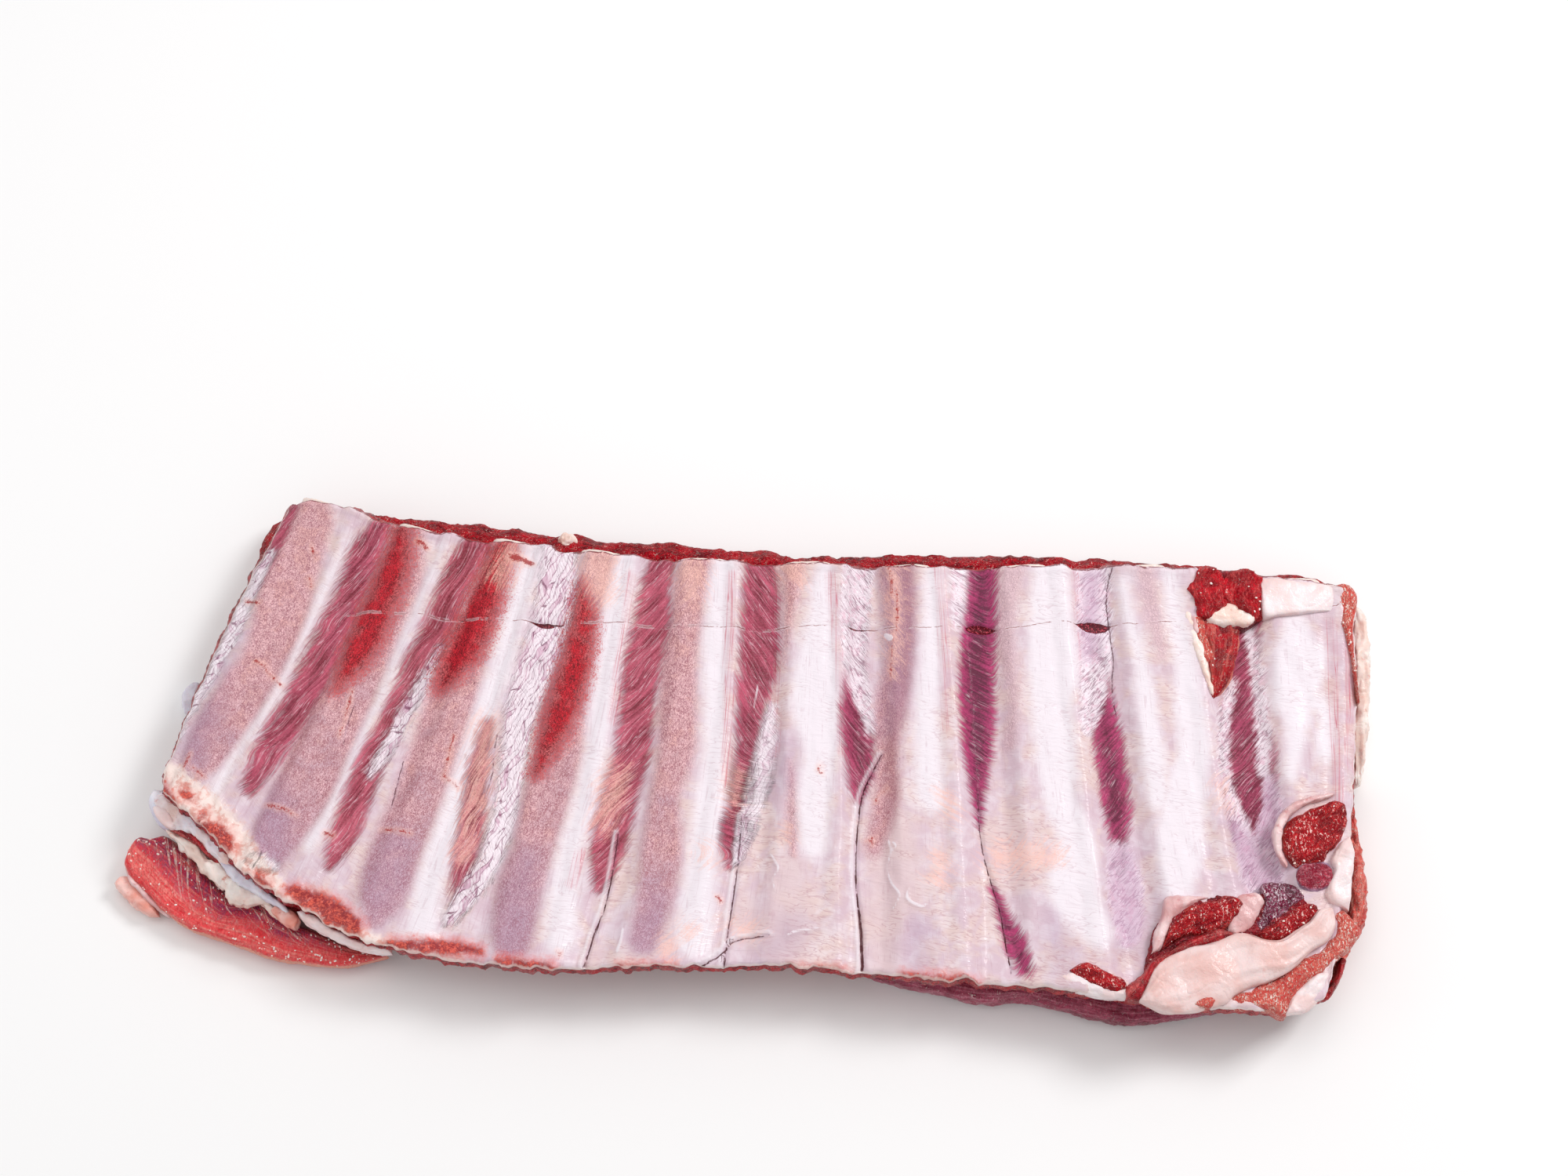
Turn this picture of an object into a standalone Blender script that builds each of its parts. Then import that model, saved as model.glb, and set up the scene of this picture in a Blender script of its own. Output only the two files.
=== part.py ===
"""A rack of ten short ribs, lying with its bone side up.

Frame: X runs along the rack, Y from the near edge to the far one, +Z is up.
The rack lies on z = 0, with the origin under the middle of its bounding box.

A slab of outer meat lies at the bottom. On it lies the layer of meat between the ribs,
with a groove for each rib. The ribs fan out a little, so both are drawn on one map:
u counts the ribs across the rack and v runs along a rib, from the far end to the near end.
Loose flaps, fat and cut pieces are soft strips, each cut to fit the pieces that it touches.
All the lengths below are in millimetres, and MM turns them into metres.
"""

import bpy
import bmesh
import numpy as np
from mathutils import Vector, noise

MM = 0.001
CLEARANCE = 0.35          # between pieces that touch
MERGE_DISTANCE = 0.001

# The map of the rack: u, far x, far y, near x, near y, bow along the rib.
# The first and last rows are its cut sides, and the others are its ribs.
GUIDES = np.array((
    (-0.35, -131, 76, -162, -13, -3.5),
    (0, -121, 75, -154, -20, 0),
    (1, -93, 67, -134, -38, 1),
    (2, -66, 63, -100, -51, 2),
    (3, -41, 60, -62, -56, 0),
    (4, -14, 58, -29, -56, 3.5),
    (5, 16, 57, 10, -56, 1.5),
    (6, 43, 56, 45, -59, 1.2),
    (7, 76, 56, 81, -62, 0.5),
    (8, 109, 56, 121, -67, -1.3),
    (9, 152, 52, 151, -67, 0.5),
    (9.45, 168, 49, 155, -62, 3.8),
))
RIB_COUNT = 10
RIB_PITCH = 32.0          # middle to middle, about
RIB_LENGTH = 116.0        # about

# Heights.
OUTER_MEAT_TOP = 9.5
LAYER_BOTTOM = 9.85
LAYER_TOP = 17.8          # between two ribs, halfway along them
RIDGE_HEIGHT = 1.1        # how far the layer rises beside the ribs
ARCH = 3.0                # how far the ends of the ribs rise

# Ribs.
RIB_MIDDLE = 15.4
RIB_HALF_HEIGHT = 4.5
RIB_HALF_WIDTH_FAR = 7.4
RIB_HALF_WIDTH_NEAR = 8.6
RIB_SQUARENESS = 0.8      # 1 is an oval section, less is squarer
RIB_NEAR_END = {0: 0.9, 8: 0.80, 9: 0.50}    # v where a rib stops short of the near edge
RIB_USUAL_END = 0.965
RIB_SIDES = 12
RIB_STEP = 12.0

# The layer between the ribs.
LAYER_CELLS_ACROSS = 50
LAYER_CELLS_ALONG = 10

# Soft strips.
STRIP_SIDES = 10
STRIP_STEP = 4.6
STRIP_FEWEST_STEPS = 4
STRIP_SQUARENESS = 0.72
STRIP_END_SCALE = 0.4     # a strip's end against its full section
STRIP_END_POWER = 5
LUMP_HEIGHT = 0.45
LUMP_SIZE = 7.0

# Outline of the outer meat, smooth through these points.
OUTER_MEAT_OUTLINE = (
    (-136, 76), (-104, 77), (-72, 73), (-38, 69), (-10, 67), (8, 62.5), (55, 62), (100, 61),
    (140, 57), (167, 53.5), (170, 45), (169.5, 20), (166.5, -6), (164, -26), (162, -44),
    (155, -57), (138, -62), (100, -60), (64, -56), (30, -52), (-20, -51.5), (-70, -50),
    (-104, -44), (-134, -33), (-152, -15), (-161, 0), (-154.5, 22), (-146, 50),
)
OUTLINE_RESOLUTION = 3
EDGE_ROUNDING = 2.4
ROUNDING_SEGMENTS = 2

# name: (finish, pieces that it gives way to, rows of x, y, half width, bottom, top)
STRIPS = {
    "flap_muscle": ("red_muscle", (), (
        (-171, -27, 6.5, 0, 6), (-162, -28, 9.6, 0, 8.6), (-148, -37.5, 6.8, 0, 9),
        (-132, -46, 4.6, 0, 8.4), (-116, -50.2, 3.4, 0, 7), (-100, -52.2, 1.6, 0, 5))),
    "flap_fat": ("pink_fat", ("flap_muscle",), (
        (-176, -26, 1.8, 0, 3.4), (-172.4, -32, 2.6, 0, 4.6), (-163.5, -38.4, 2, 0, 3.6))),
    "under_muscle": ("purple_muscle", (), (
        (32, -54, 2.5, 0, 8), (50, -56.4, 4, 0, 9), (64, -58.7, 4.5, 0, 9.2),
        (73, -58.4, 4, 0, 8.8), (85, -60.8, 4.4, 0, 9.2), (100, -63.8, 4.8, 0, 9.4),
        (115, -63.3, 4, 0, 9), (128, -62.6, 2.5, 0, 8))),
    "cartilage_end": ("cartilage", (), (
        (-163, -9, 2.4, 9, 16), (-160, -13.2, 3.4, 8.4, 16.6), (-156.4, -17.6, 2.4, 9, 16))),
    "cartilage_edge": ("cartilage", ("rib_bone_02",), (
        (-152, -22, 2.4, 10.4, 16.4), (-144, -28.6, 3.6, 10.2, 17.2), (-130, -39.4, 3.8, 10.2, 18),
        (-115, -45.8, 3.2, 10.2, 18), (-98, -50.6, 1.8, 10.6, 17))),
    "torn_fat": ("pale_fat", ("rib_layer", "cartilage_edge", "cartilage_end", "flap_muscle"), (
        (-153, -25, 1.6, 9.9, 12.8), (-143, -33.4, 2.6, 9.6, 13.4), (-131, -43.6, 2.4, 9.6, 13.4),
        (-121, -48, 1.2, 9, 12))),
    "skirt_fat": ("pale_fat", ("rib_layer", "rib_bone_09"), (
        (103, -63.6, 2.4, 20, 23.2), (109, -60.2, 5.8, 19.6, 25), (119, -58.2, 8.2, 19, 26.2),
        (131, -54.8, 7.2, 18.6, 26.2), (142, -52, 4.8, 18.4, 25.4), (152, -47.5, 4.4, 18, 24.6),
        (158.5, -44.5, 3, 17.6, 23.2))),
    "skirt_muscle": ("red_muscle", ("rib_layer", "rib_bone_09", "skirt_fat"), (
        (100.5, -64, 1.8, 17, 22), (106, -53.5, 2.8, 16, 23.4), (112, -46.2, 3.8, 16, 24.6),
        (121, -42.2, 3.8, 16, 24.6), (131, -39.5, 2.6, 16, 23.4))),
    "skirt_muscle_right": ("red_muscle", ("rib_layer", "skirt_fat", "skirt_muscle"), (
        (132.5, -46, 1.6, 16, 22.6), (140, -44.3, 3, 16, 24), (147, -41.6, 2.6, 16, 23.8),
        (151.5, -39.8, 1.4, 16, 22.4))),
    "skirt_edge": ("orange_muscle", ("rib_layer", "skirt_fat"), (
        (129, -65.5, 2.6, 14.5, 22.4), (139, -62.4, 4.2, 14, 23.2), (149, -57.4, 4.2, 14, 23),
        (157, -51.6, 3.2, 13.5, 22.6), (161.5, -46.6, 1.8, 13.5, 21))),
    "corner_fat": ("pale_fat", ("rib_layer", "skirt_edge"), (
        (142, -67, 2.2, 20.4, 23.6), (149, -63.2, 3.6, 20.2, 24.2), (155, -58.8, 2.4, 19.8, 23.2))),
    "near_fat": ("pink_fat", ("rib_layer", "rib_bone_08", "skirt_muscle"), (
        (88, -61.4, 2, 17, 22), (93, -62.4, 3.2, 16.6, 23.4), (99, -63.8, 2, 17, 22.4))),
    "cut_flesh": ("dark_muscle", ("rib_layer", "rib_bone_10"), (
        (143.5, -25, 3, 15, 20.6), (149, -20, 6, 14.6, 21.4), (156, -15.8, 5.8, 14.6, 21.4),
        (162, -12.6, 3, 15, 20.6))),
    "cut_rib_end": ("marrow", ("rib_layer", "cut_flesh"), (
        (146.2, -33.8, 2.6, 16, 22), (150.3, -32.4, 4.2, 16, 22.6), (154.4, -31, 2.6, 16, 22))),
    "side_fat_near": ("pale_fat", ("rib_layer", "cut_flesh", "cut_rib_end", "skirt_fat"), (
        (157, -24.5, 2, 16, 21.8), (159, -31, 3.2, 15.6, 22.6), (158, -39, 2.4, 16, 22.4))),
    "side_meat": ("red_muscle", ("rib_layer", "skirt_edge", "side_fat"), (
        (169, -8, 1.8, 3, 12), (166.4, -20, 2.4, 3, 14), (164.8, -34, 2.8, 3, 14.6),
        (163, -46, 2.6, 3, 14), (158.6, -55.5, 1.8, 3, 11.5))),
    "side_fat": ("pale_fat", ("rib_layer",), (
        (172.6, 49, 1.8, 0, 13), (172, 35, 2.6, 0, 15), (171, 20, 2.6, 0, 14.6),
        (169.8, 8, 2.4, 0, 13), (169.4, -3, 1.6, 0, 10))),
    "corner_meat": ("dark_muscle", ("rib_layer", "side_fat"), (
        (164.6, 49, 2.6, 16, 22.4), (165, 43, 2.6, 16, 23), (166, 35, 1.9, 16, 22),
        (166.2, 27, 1.3, 16, 20.6))),
    "fat_block": ("pale_fat", ("rib_layer", "rib_bone_10", "corner_meat"), (
        (142.8, 46, 5, 18.6, 24.4), (152, 46.4, 4.6, 18.6, 25.2), (160.6, 46.2, 3.4, 18.6, 24.2))),
    "lump_left": ("dark_muscle", ("rib_layer",), (
        (127, 54, 2.8, 16, 25), (125.4, 48.4, 5, 15, 27), (126, 42.4, 3.2, 16, 25.6))),
    "lump_right": ("dark_muscle", ("rib_layer", "lump_left", "fat_block"), (
        (135.4, 53, 2.8, 16, 24.6), (136.2, 47.8, 4.6, 15, 26.2), (136.6, 42, 3, 16, 25))),
    "lump_fat": ("pink_fat", ("rib_layer", "lump_left", "lump_right", "fat_block"), (
        (124.6, 38.4, 1.6, 16, 22.6), (133, 39, 2.8, 16, 23.8), (141, 38, 1.8, 16, 22.8))),
    "wedge_flesh": ("dark_muscle", ("rib_layer", "lump_fat"), (
        (135.4, 34.6, 4.2, 14.6, 21), (132.6, 27.4, 3.8, 14, 20.6), (130, 21.6, 2.2, 14.4, 20),
        (128.6, 18, 1.2, 15, 19.4))),
    "far_scrap": ("pink_fat", (), (
        (-55.6, 68.4, 1.2, 10.4, 13), (-53, 67.4, 2.4, 10.4, 14.4), (-50, 66.2, 1.4, 10.4, 13))),
    "edge_tag": ("cartilage", (), (
        (-157.4, 28, 1.4, 0, 4.6), (-158.8, 23, 2.2, 0, 5.8), (-158.4, 18, 1.4, 0, 4.6))),
}
OUTER_MEAT_GIVES_WAY = ("flap_muscle", "under_muscle", "side_meat", "side_fat", "torn_fat",
                        "cartilage_end", "edge_tag")
LAYER_GIVES_WAY = ("cartilage_end", "cartilage_edge")

# finish: base colour, roughness
FINISHES = {
    "bone": ((0.86, 0.74, 0.72), 0.35),
    "rib_meat": ((0.42, 0.12, 0.18), 0.3),
    "outer_muscle": ((0.40, 0.06, 0.07), 0.35),
    "red_muscle": ((0.55, 0.09, 0.10), 0.3),
    "dark_muscle": ((0.42, 0.03, 0.04), 0.3),
    "purple_muscle": ((0.50, 0.20, 0.24), 0.3),
    "orange_muscle": ((0.72, 0.22, 0.14), 0.35),
    "marrow": ((0.60, 0.16, 0.18), 0.4),
    "cartilage": ((0.78, 0.80, 0.85), 0.25),
    "pale_fat": ((0.93, 0.86, 0.82), 0.35),
    "pink_fat": ((0.88, 0.62, 0.56), 0.35),
}


def clear_scene():
    for item in list(bpy.data.objects):
        bpy.data.objects.remove(item, do_unlink=True)


def new_collection(name):
    collection = bpy.data.collections.new(name)
    bpy.context.scene.collection.children.link(collection)
    return collection


def finish_material(name):
    """The material of a finish, made the first time it is asked for."""
    material = bpy.data.materials.get(name)
    if material is None:
        colour, roughness = FINISHES[name]
        material = bpy.data.materials.new(name)
        material.use_nodes = True
        shader = material.node_tree.nodes["Principled BSDF"]
        shader.inputs["Base Color"].default_value = (*colour, 1)
        shader.inputs["Roughness"].default_value = roughness
        shader.inputs["Metallic"].default_value = 0
    return material


def smooth_through(places, values, at):
    """A smooth curve through the values, read at other places (cubic Hermite)."""
    slopes = np.gradient(values, places)
    left = np.clip(np.searchsorted(places, at) - 1, 0, len(places) - 2)
    span = places[left + 1] - places[left]
    part = (at - places[left]) / span
    square = part * part
    cube = square * part
    return ((2 * cube - 3 * square + 1) * values[left]
            + (cube - 2 * square + part) * span * slopes[left]
            + (3 * square - 2 * cube) * values[left + 1]
            + (cube - square) * span * slopes[left + 1])


def fan_point(u, v):
    """x and y of a place on the map of the rack."""
    far_x, far_y, near_x, near_y, bow = (
        smooth_through(GUIDES[:, 0], GUIDES[:, column], u) for column in range(1, 6))
    x = far_x + (near_x - far_x) * v + bow * 4 * v * (1 - v)
    y = far_y + (near_y - far_y) * v
    return x, y


def arch(v):
    """How far the ribs rise towards their two ends."""
    return ARCH * (2 * v - 1) ** 2


def rounded(value, power):
    """A cosine or sine made squarer by a power below 1."""
    return np.sign(value) * np.abs(value) ** power


def new_part(name, bm, finish, collection, origin):
    """An object from a mesh in millimetres, with its faces pointing out."""
    bmesh.ops.scale(bm, vec=(MM, MM, MM), verts=bm.verts)
    bmesh.ops.recalc_face_normals(bm, faces=bm.faces)
    mesh = bpy.data.meshes.new(name)
    bm.to_mesh(mesh)
    bm.free()
    mesh.materials.append(finish_material(finish))
    mesh.shade_smooth()
    part = bpy.data.objects.new(name, mesh)
    part.parent = origin
    collection.objects.link(part)
    return part


def rolled_grid(points):
    """A grid rolled into a tube through a table of points, with its ends filled."""
    stations, sides = points.shape[:2]
    bm = bmesh.new()
    bmesh.ops.create_grid(bm, x_segments=stations - 1, y_segments=sides, size=0.5)
    for vert in bm.verts:
        station = round((vert.co.x + 0.5) * (stations - 1))
        side = round((vert.co.y + 0.5) * sides) % sides
        vert.co = Vector(points[station, side])
    bmesh.ops.remove_doubles(bm, verts=bm.verts, dist=MERGE_DISTANCE)
    rims = [edge for edge in bm.edges if edge.is_boundary]
    bmesh.ops.holes_fill(bm, edges=rims)
    return bm


def tube_points(x, y, half_width, bottom, top, sides, squareness, grow):
    """Rings across a path: each is a squarish oval, half_width to a side, from bottom to top."""
    along_x = np.gradient(x)
    along_y = np.gradient(y)
    length = np.hypot(along_x, along_y)
    along_x = along_x / length
    along_y = along_y / length
    reach = np.zeros_like(x)
    reach[0] = -grow
    reach[-1] = grow
    x = x + along_x * reach
    y = y + along_y * reach
    angle = np.arange(sides) * 2 * np.pi / sides
    across = rounded(np.cos(angle), squareness)[None, :] * (half_width + grow)[:, None]
    middle = (0.5 * (bottom + top))[:, None]
    half_height = (0.5 * (top - bottom) + grow)[:, None]
    points = np.empty((len(x), sides, 3))
    points[:, :, 0] = x[:, None] - along_y[:, None] * across
    points[:, :, 1] = y[:, None] + along_x[:, None] * across
    points[:, :, 2] = middle + rounded(np.sin(angle), squareness)[None, :] * half_height
    return points


def rib_bone(index, name, collection, origin, grow=0.0):
    """One rib: a flat oval bar that follows the map, with cut ends."""
    near_end = RIB_NEAR_END.get(index, RIB_USUAL_END)
    far_x, far_y = fan_point(np.array([float(index)]), np.array([0.0]))
    near_x, near_y = fan_point(np.array([float(index)]), np.array([near_end]))
    length = np.hypot(near_x - far_x, near_y - far_y)[0]
    v = np.linspace(0, near_end, round(length / RIB_STEP) + 1)
    x, y = fan_point(np.full_like(v, index), v)
    half_width = RIB_HALF_WIDTH_FAR + (RIB_HALF_WIDTH_NEAR - RIB_HALF_WIDTH_FAR) * v
    middle = RIB_MIDDLE + arch(v)
    points = tube_points(x, y, half_width, middle - RIB_HALF_HEIGHT, middle + RIB_HALF_HEIGHT,
                         RIB_SIDES, RIB_SQUARENESS, grow)
    return new_part(name, rolled_grid(points), "bone", collection, origin)


def soft_strip(name, finish, rows, collection, origin, grow=0.0):
    """A strip of meat or fat through the rows, with rounded ends and a lumpy skin."""
    rows = np.array(rows, dtype=float)
    steps = np.hypot(np.diff(rows[:, 0]), np.diff(rows[:, 1]))
    places = np.concatenate(((0,), np.cumsum(steps)))
    count = max(STRIP_FEWEST_STEPS, round(places[-1] / STRIP_STEP))
    at = np.linspace(0, places[-1], count + 1)
    x, y, half_width, bottom, top = (
        smooth_through(places, rows[:, column], at) for column in range(5))
    end = np.abs(2 * at / places[-1] - 1) ** STRIP_END_POWER
    scale = 1 - (1 - STRIP_END_SCALE) * end
    middle = 0.5 * (bottom + top)
    on_floor = bottom <= 0
    half_height = 0.5 * (top - bottom) * scale
    middle = np.where(on_floor, half_height, middle)
    shape = (x, y, half_width * scale, middle - half_height, middle + half_height,
             STRIP_SIDES, STRIP_SQUARENESS)
    bare = tube_points(*shape, 0.0)
    points = tube_points(*shape, grow)
    outward = bare - bare.mean(axis=1, keepdims=True)
    outward /= np.linalg.norm(outward, axis=2, keepdims=True)
    lumps = np.array([[noise.noise(Vector(point) / LUMP_SIZE) for point in ring] for ring in bare])
    lift = LUMP_HEIGHT * lumps[:, :, None] * outward
    lift[:, :, 2] = np.where(on_floor[:, None] & (bare[:, :, 2] < middle[:, None]), 0, lift[:, :, 2])
    return new_part(name, rolled_grid(points + lift), finish, collection, origin)


def rib_layer(name, collection, origin, grow=0.0):
    """The meat between the ribs: the whole map, sunk a little between them, on a flat bottom."""
    bm = bmesh.new()
    bmesh.ops.create_grid(bm, x_segments=LAYER_CELLS_ACROSS, y_segments=LAYER_CELLS_ALONG, size=0.5)
    first = GUIDES[0, 0] - grow / RIB_PITCH
    last = GUIDES[-1, 0] + grow / RIB_PITCH
    reach = 1 + 2 * grow / RIB_LENGTH
    for vert in bm.verts:
        u = first + (last - first) * (vert.co.x + 0.5)
        v = 0.5 - vert.co.y * reach
        x, y = fan_point(np.array([u]), np.array([v]))
        ridge = RIDGE_HEIGHT * np.cos(np.pi * u) ** 2
        vert.co = Vector((x[0], y[0], LAYER_TOP + arch(v) + ridge + grow))
    top_faces = list(bm.faces)
    lowered = bmesh.ops.extrude_face_region(bm, geom=top_faces)["geom"]
    for item in lowered:
        if isinstance(item, bmesh.types.BMVert):
            item.co.z = LAYER_BOTTOM - grow
    bottom_faces = [item for item in lowered if isinstance(item, bmesh.types.BMFace)]
    bmesh.ops.dissolve_faces(bm, faces=bottom_faces, use_verts=False)
    return new_part(name, bm, "rib_meat", collection, origin)


def outer_meat(collection, origin):
    """The slab of outer meat: a smooth outline with its thickness, and rounded edges."""
    curve = bpy.data.curves.new("outer_meat", "CURVE")
    curve.dimensions = "2D"
    curve.fill_mode = "BOTH"
    curve.extrude = 0.5 * OUTER_MEAT_TOP
    curve.resolution_u = OUTLINE_RESOLUTION
    spline = curve.splines.new("BEZIER")
    spline.bezier_points.add(len(OUTER_MEAT_OUTLINE) - 1)
    spline.use_cyclic_u = True
    for point, (x, y) in zip(spline.bezier_points, OUTER_MEAT_OUTLINE):
        point.co = (x, y, 0)
        point.handle_left_type = "AUTO"
        point.handle_right_type = "AUTO"
    drawing = bpy.data.objects.new("outer_meat_outline", curve)
    collection.objects.link(drawing)
    bpy.context.view_layer.update()
    evaluated = drawing.evaluated_get(bpy.context.evaluated_depsgraph_get())
    mesh = bpy.data.meshes.new_from_object(evaluated)
    bpy.data.objects.remove(drawing)
    bm = bmesh.new()
    bm.from_mesh(mesh)
    bpy.data.meshes.remove(mesh)
    bmesh.ops.remove_doubles(bm, verts=bm.verts, dist=MERGE_DISTANCE)
    bmesh.ops.translate(bm, vec=(0, 0, 0.5 * OUTER_MEAT_TOP), verts=bm.verts)
    slab = new_part("outer_meat", bm, "outer_muscle", collection, origin)
    rounding = slab.modifiers.new("rounded edges", "BEVEL")
    rounding.width = EDGE_ROUNDING * MM
    rounding.segments = ROUNDING_SEGMENTS
    rounding.limit_method = "ANGLE"
    return slab


def make_way(part, cutters):
    """Cut the room for its neighbours out of a part."""
    for cutter in cutters:
        cut = part.modifiers.new("room for " + cutter.name, "BOOLEAN")
        cut.operation = "DIFFERENCE"
        cut.solver = "EXACT"
        cut.object = cutter


def hide_cutter(cutter):
    cutter.hide_render = True
    cutter.display_type = "WIRE"


def centre_on_origin(parts, origin):
    """Move everything so that the origin lies under the middle of the parts' bounding box."""
    bpy.context.view_layer.update()
    graph = bpy.context.evaluated_depsgraph_get()
    corners = np.array([part.matrix_world @ Vector(corner)
                        for part in parts
                        for corner in part.evaluated_get(graph).bound_box])
    low = corners.min(axis=0)
    high = corners.max(axis=0)
    origin.location = (-0.5 * (low[0] + high[0]), -0.5 * (low[1] + high[1]), -low[2])


def build():
    clear_scene()
    rack = new_collection("short_ribs")
    tools = new_collection("cutters")
    origin = bpy.data.objects.new("rack_origin", None)
    rack.objects.link(origin)

    ribs = []
    cutters = {}
    for index in range(RIB_COUNT):
        name = f"rib_bone_{index + 1:02d}"
        ribs.append(rib_bone(index, name, rack, origin))
        cutters[name] = rib_bone(index, name + "_room", tools, origin, CLEARANCE)
    strips = {}
    for name, (finish, _, rows) in STRIPS.items():
        strips[name] = soft_strip(name, finish, rows, rack, origin)
        cutters[name] = soft_strip(name + "_room", finish, rows, tools, origin, CLEARANCE)
    layer = rib_layer("rib_layer", rack, origin)
    cutters["rib_layer"] = rib_layer("rib_layer_room", tools, origin, CLEARANCE)
    for cutter in cutters.values():
        hide_cutter(cutter)

    for name, (_, gives_way, _) in STRIPS.items():
        make_way(strips[name], [cutters[other] for other in gives_way])
    make_way(layer, [cutters[rib.name] for rib in ribs])
    make_way(layer, [cutters[name] for name in LAYER_GIVES_WAY])
    slab = outer_meat(rack, origin)
    make_way(slab, [cutters[name] for name in OUTER_MEAT_GIVES_WAY])
    centre_on_origin(ribs + list(strips.values()) + [layer, slab], origin)


build()
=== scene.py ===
import itertools
import math

import bmesh
import bpy
import numpy as np
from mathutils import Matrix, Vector


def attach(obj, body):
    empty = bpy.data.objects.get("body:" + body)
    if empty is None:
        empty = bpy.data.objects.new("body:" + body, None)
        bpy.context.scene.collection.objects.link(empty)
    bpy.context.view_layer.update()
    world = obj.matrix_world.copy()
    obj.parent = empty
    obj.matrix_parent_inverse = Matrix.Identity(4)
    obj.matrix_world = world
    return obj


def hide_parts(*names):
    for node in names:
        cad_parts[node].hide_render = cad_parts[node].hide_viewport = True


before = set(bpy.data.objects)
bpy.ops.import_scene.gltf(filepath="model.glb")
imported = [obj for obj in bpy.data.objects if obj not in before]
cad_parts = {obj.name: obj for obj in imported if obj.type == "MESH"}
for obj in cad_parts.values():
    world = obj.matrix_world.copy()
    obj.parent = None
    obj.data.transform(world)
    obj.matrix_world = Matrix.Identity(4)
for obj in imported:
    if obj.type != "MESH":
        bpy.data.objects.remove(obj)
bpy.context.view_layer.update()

print("frame loaded:", len(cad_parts), "nodes")

mm = 0.001
rackOrigin = np.array([1.0243, -5.4238, 0.0])  # mm, moves the rack's own frame to the model's
layerBottom = 9.85
octaveShift = 17.3  # keeps the octaves of noise apart
noiseHeight = 1.6

# numbers and noise
randomDraws = np.random.default_rng(41)
shuffled = np.concatenate([randomDraws.permutation(256)] * 2)
slopes = randomDraws.normal(size=(256, 3))
slopes /= np.linalg.norm(slopes, axis=1)[:, None]


def noise(points, size, octaves=1, gain=0.5):
    # a random slope at each corner of a lattice, blended by a quintic curve; each octave is half as large
    total = np.zeros(points.shape[:-1])
    weight = 1.0
    for octave in range(octaves):
        place = points / size * 2.0 ** octave + octaveShift * octave
        cell = np.floor(place).astype(int)
        part = place - cell
        blended = part ** 3 * (part * (part * 6 - 15) + 10)
        for corner in itertools.product((0, 1), repeat=3):
            x, y, z = (cell[..., k] + corner[k] & 255 for k in range(3))
            slope = slopes[shuffled[shuffled[shuffled[x] + y] + z]]
            share = np.prod(np.where(corner, blended, 1 - blended), axis=-1)
            total += noiseHeight * weight * share * np.sum(slope * (part - corner), axis=-1)
        weight *= gain
    return total


def flat(x, y, z=0.0):
    return np.stack(np.broadcast_arrays(x, y, z), axis=-1).astype(float)


def step(low, high, value):
    # 0 below low, 1 above high, a smooth cubic between
    part = np.clip((value - low) / (high - low), 0, 1)
    return part * part * (3 - 2 * part)


def bell(value, width):
    return np.exp(-(value / width) ** 2)


def signedPower(value, power):
    return np.sign(value) * np.abs(value) ** power


def lengthAlong(points):
    # the way from the first point to each
    return np.concatenate([[0], np.cumsum(np.linalg.norm(np.diff(points, axis=0), axis=1))])


def cubicAt(knots, values, place):
    # a cubic Hermite curve through values at the knots
    tangent = np.gradient(values, knots, axis=0)
    span = np.clip(np.searchsorted(knots, place, side="right") - 1, 0, len(knots) - 2)
    width = (knots[span + 1] - knots[span])[..., None]
    t = (place - knots[span])[..., None] / width
    return (
        (2 * t ** 3 - 3 * t ** 2 + 1) * values[span] + (t ** 3 - 2 * t ** 2 + t) * width * tangent[span]
        + (3 * t ** 2 - 2 * t ** 3) * values[span + 1] + (t ** 3 - t ** 2) * width * tangent[span + 1]
    )


def smoothThrough(rows, count):
    # a curve through the rows, sampled evenly by chord length
    rows = np.array(rows, float)
    chord = np.linalg.norm(np.diff(rows[:, :2], axis=0), axis=1)
    knots = np.concatenate([[0], np.cumsum(np.maximum(chord, 0.01))])
    return cubicAt(knots, rows, np.linspace(0, knots[-1], count))


def strokeField(x, y, rows, reach=6.0):
    # mm inside a brush stroke: half width at the nearest point of its path less the distance to it;
    # side is the signed distance across the path
    path = smoothThrough(rows, 3 * len(rows))
    wide = reach + path[:, 2].max()
    near = (x > path[:, 0].min() - wide) & (x < path[:, 0].max() + wide)
    near &= (y > path[:, 1].min() - wide) & (y < path[:, 1].max() + wide)
    px, py = x[near], y[near]
    best = np.full(px.shape, -reach)
    across = np.full(px.shape, reach)
    for (ax, ay, aw), (bx, by, bw) in zip(path[:-1], path[1:]):
        dx, dy = bx - ax, by - ay
        t = np.clip(((px - ax) * dx + (py - ay) * dy) / (dx * dx + dy * dy + 1e-9), 0, 1)
        away = np.hypot(px - ax - t * dx, py - ay - t * dy)
        inside = aw + t * (bw - aw) - away
        better = inside > best
        best = np.where(better, inside, best)
        across = np.where(better, np.sign(dx * (py - ay) - dy * (px - ax)) * away, across)
    field = np.full(x.shape, -reach)
    side = np.full(x.shape, reach)
    field[near] = best
    side[near] = across
    return field, side


def strokeSides(x, y, many, reach=3.0):
    # the signed distance across the nearest of several strokes
    field, side = np.full(x.shape, -reach), np.full(x.shape, reach)
    for rows in many:
        inside, across = strokeField(x, y, rows, reach)
        side = np.where(inside > field, across, side)
        field = np.maximum(field, inside)
    return side


def strokes(x, y, many):
    # the deepest of several strokes
    return np.max([strokeField(x, y, rows)[0] for rows in many], axis=0)


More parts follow.
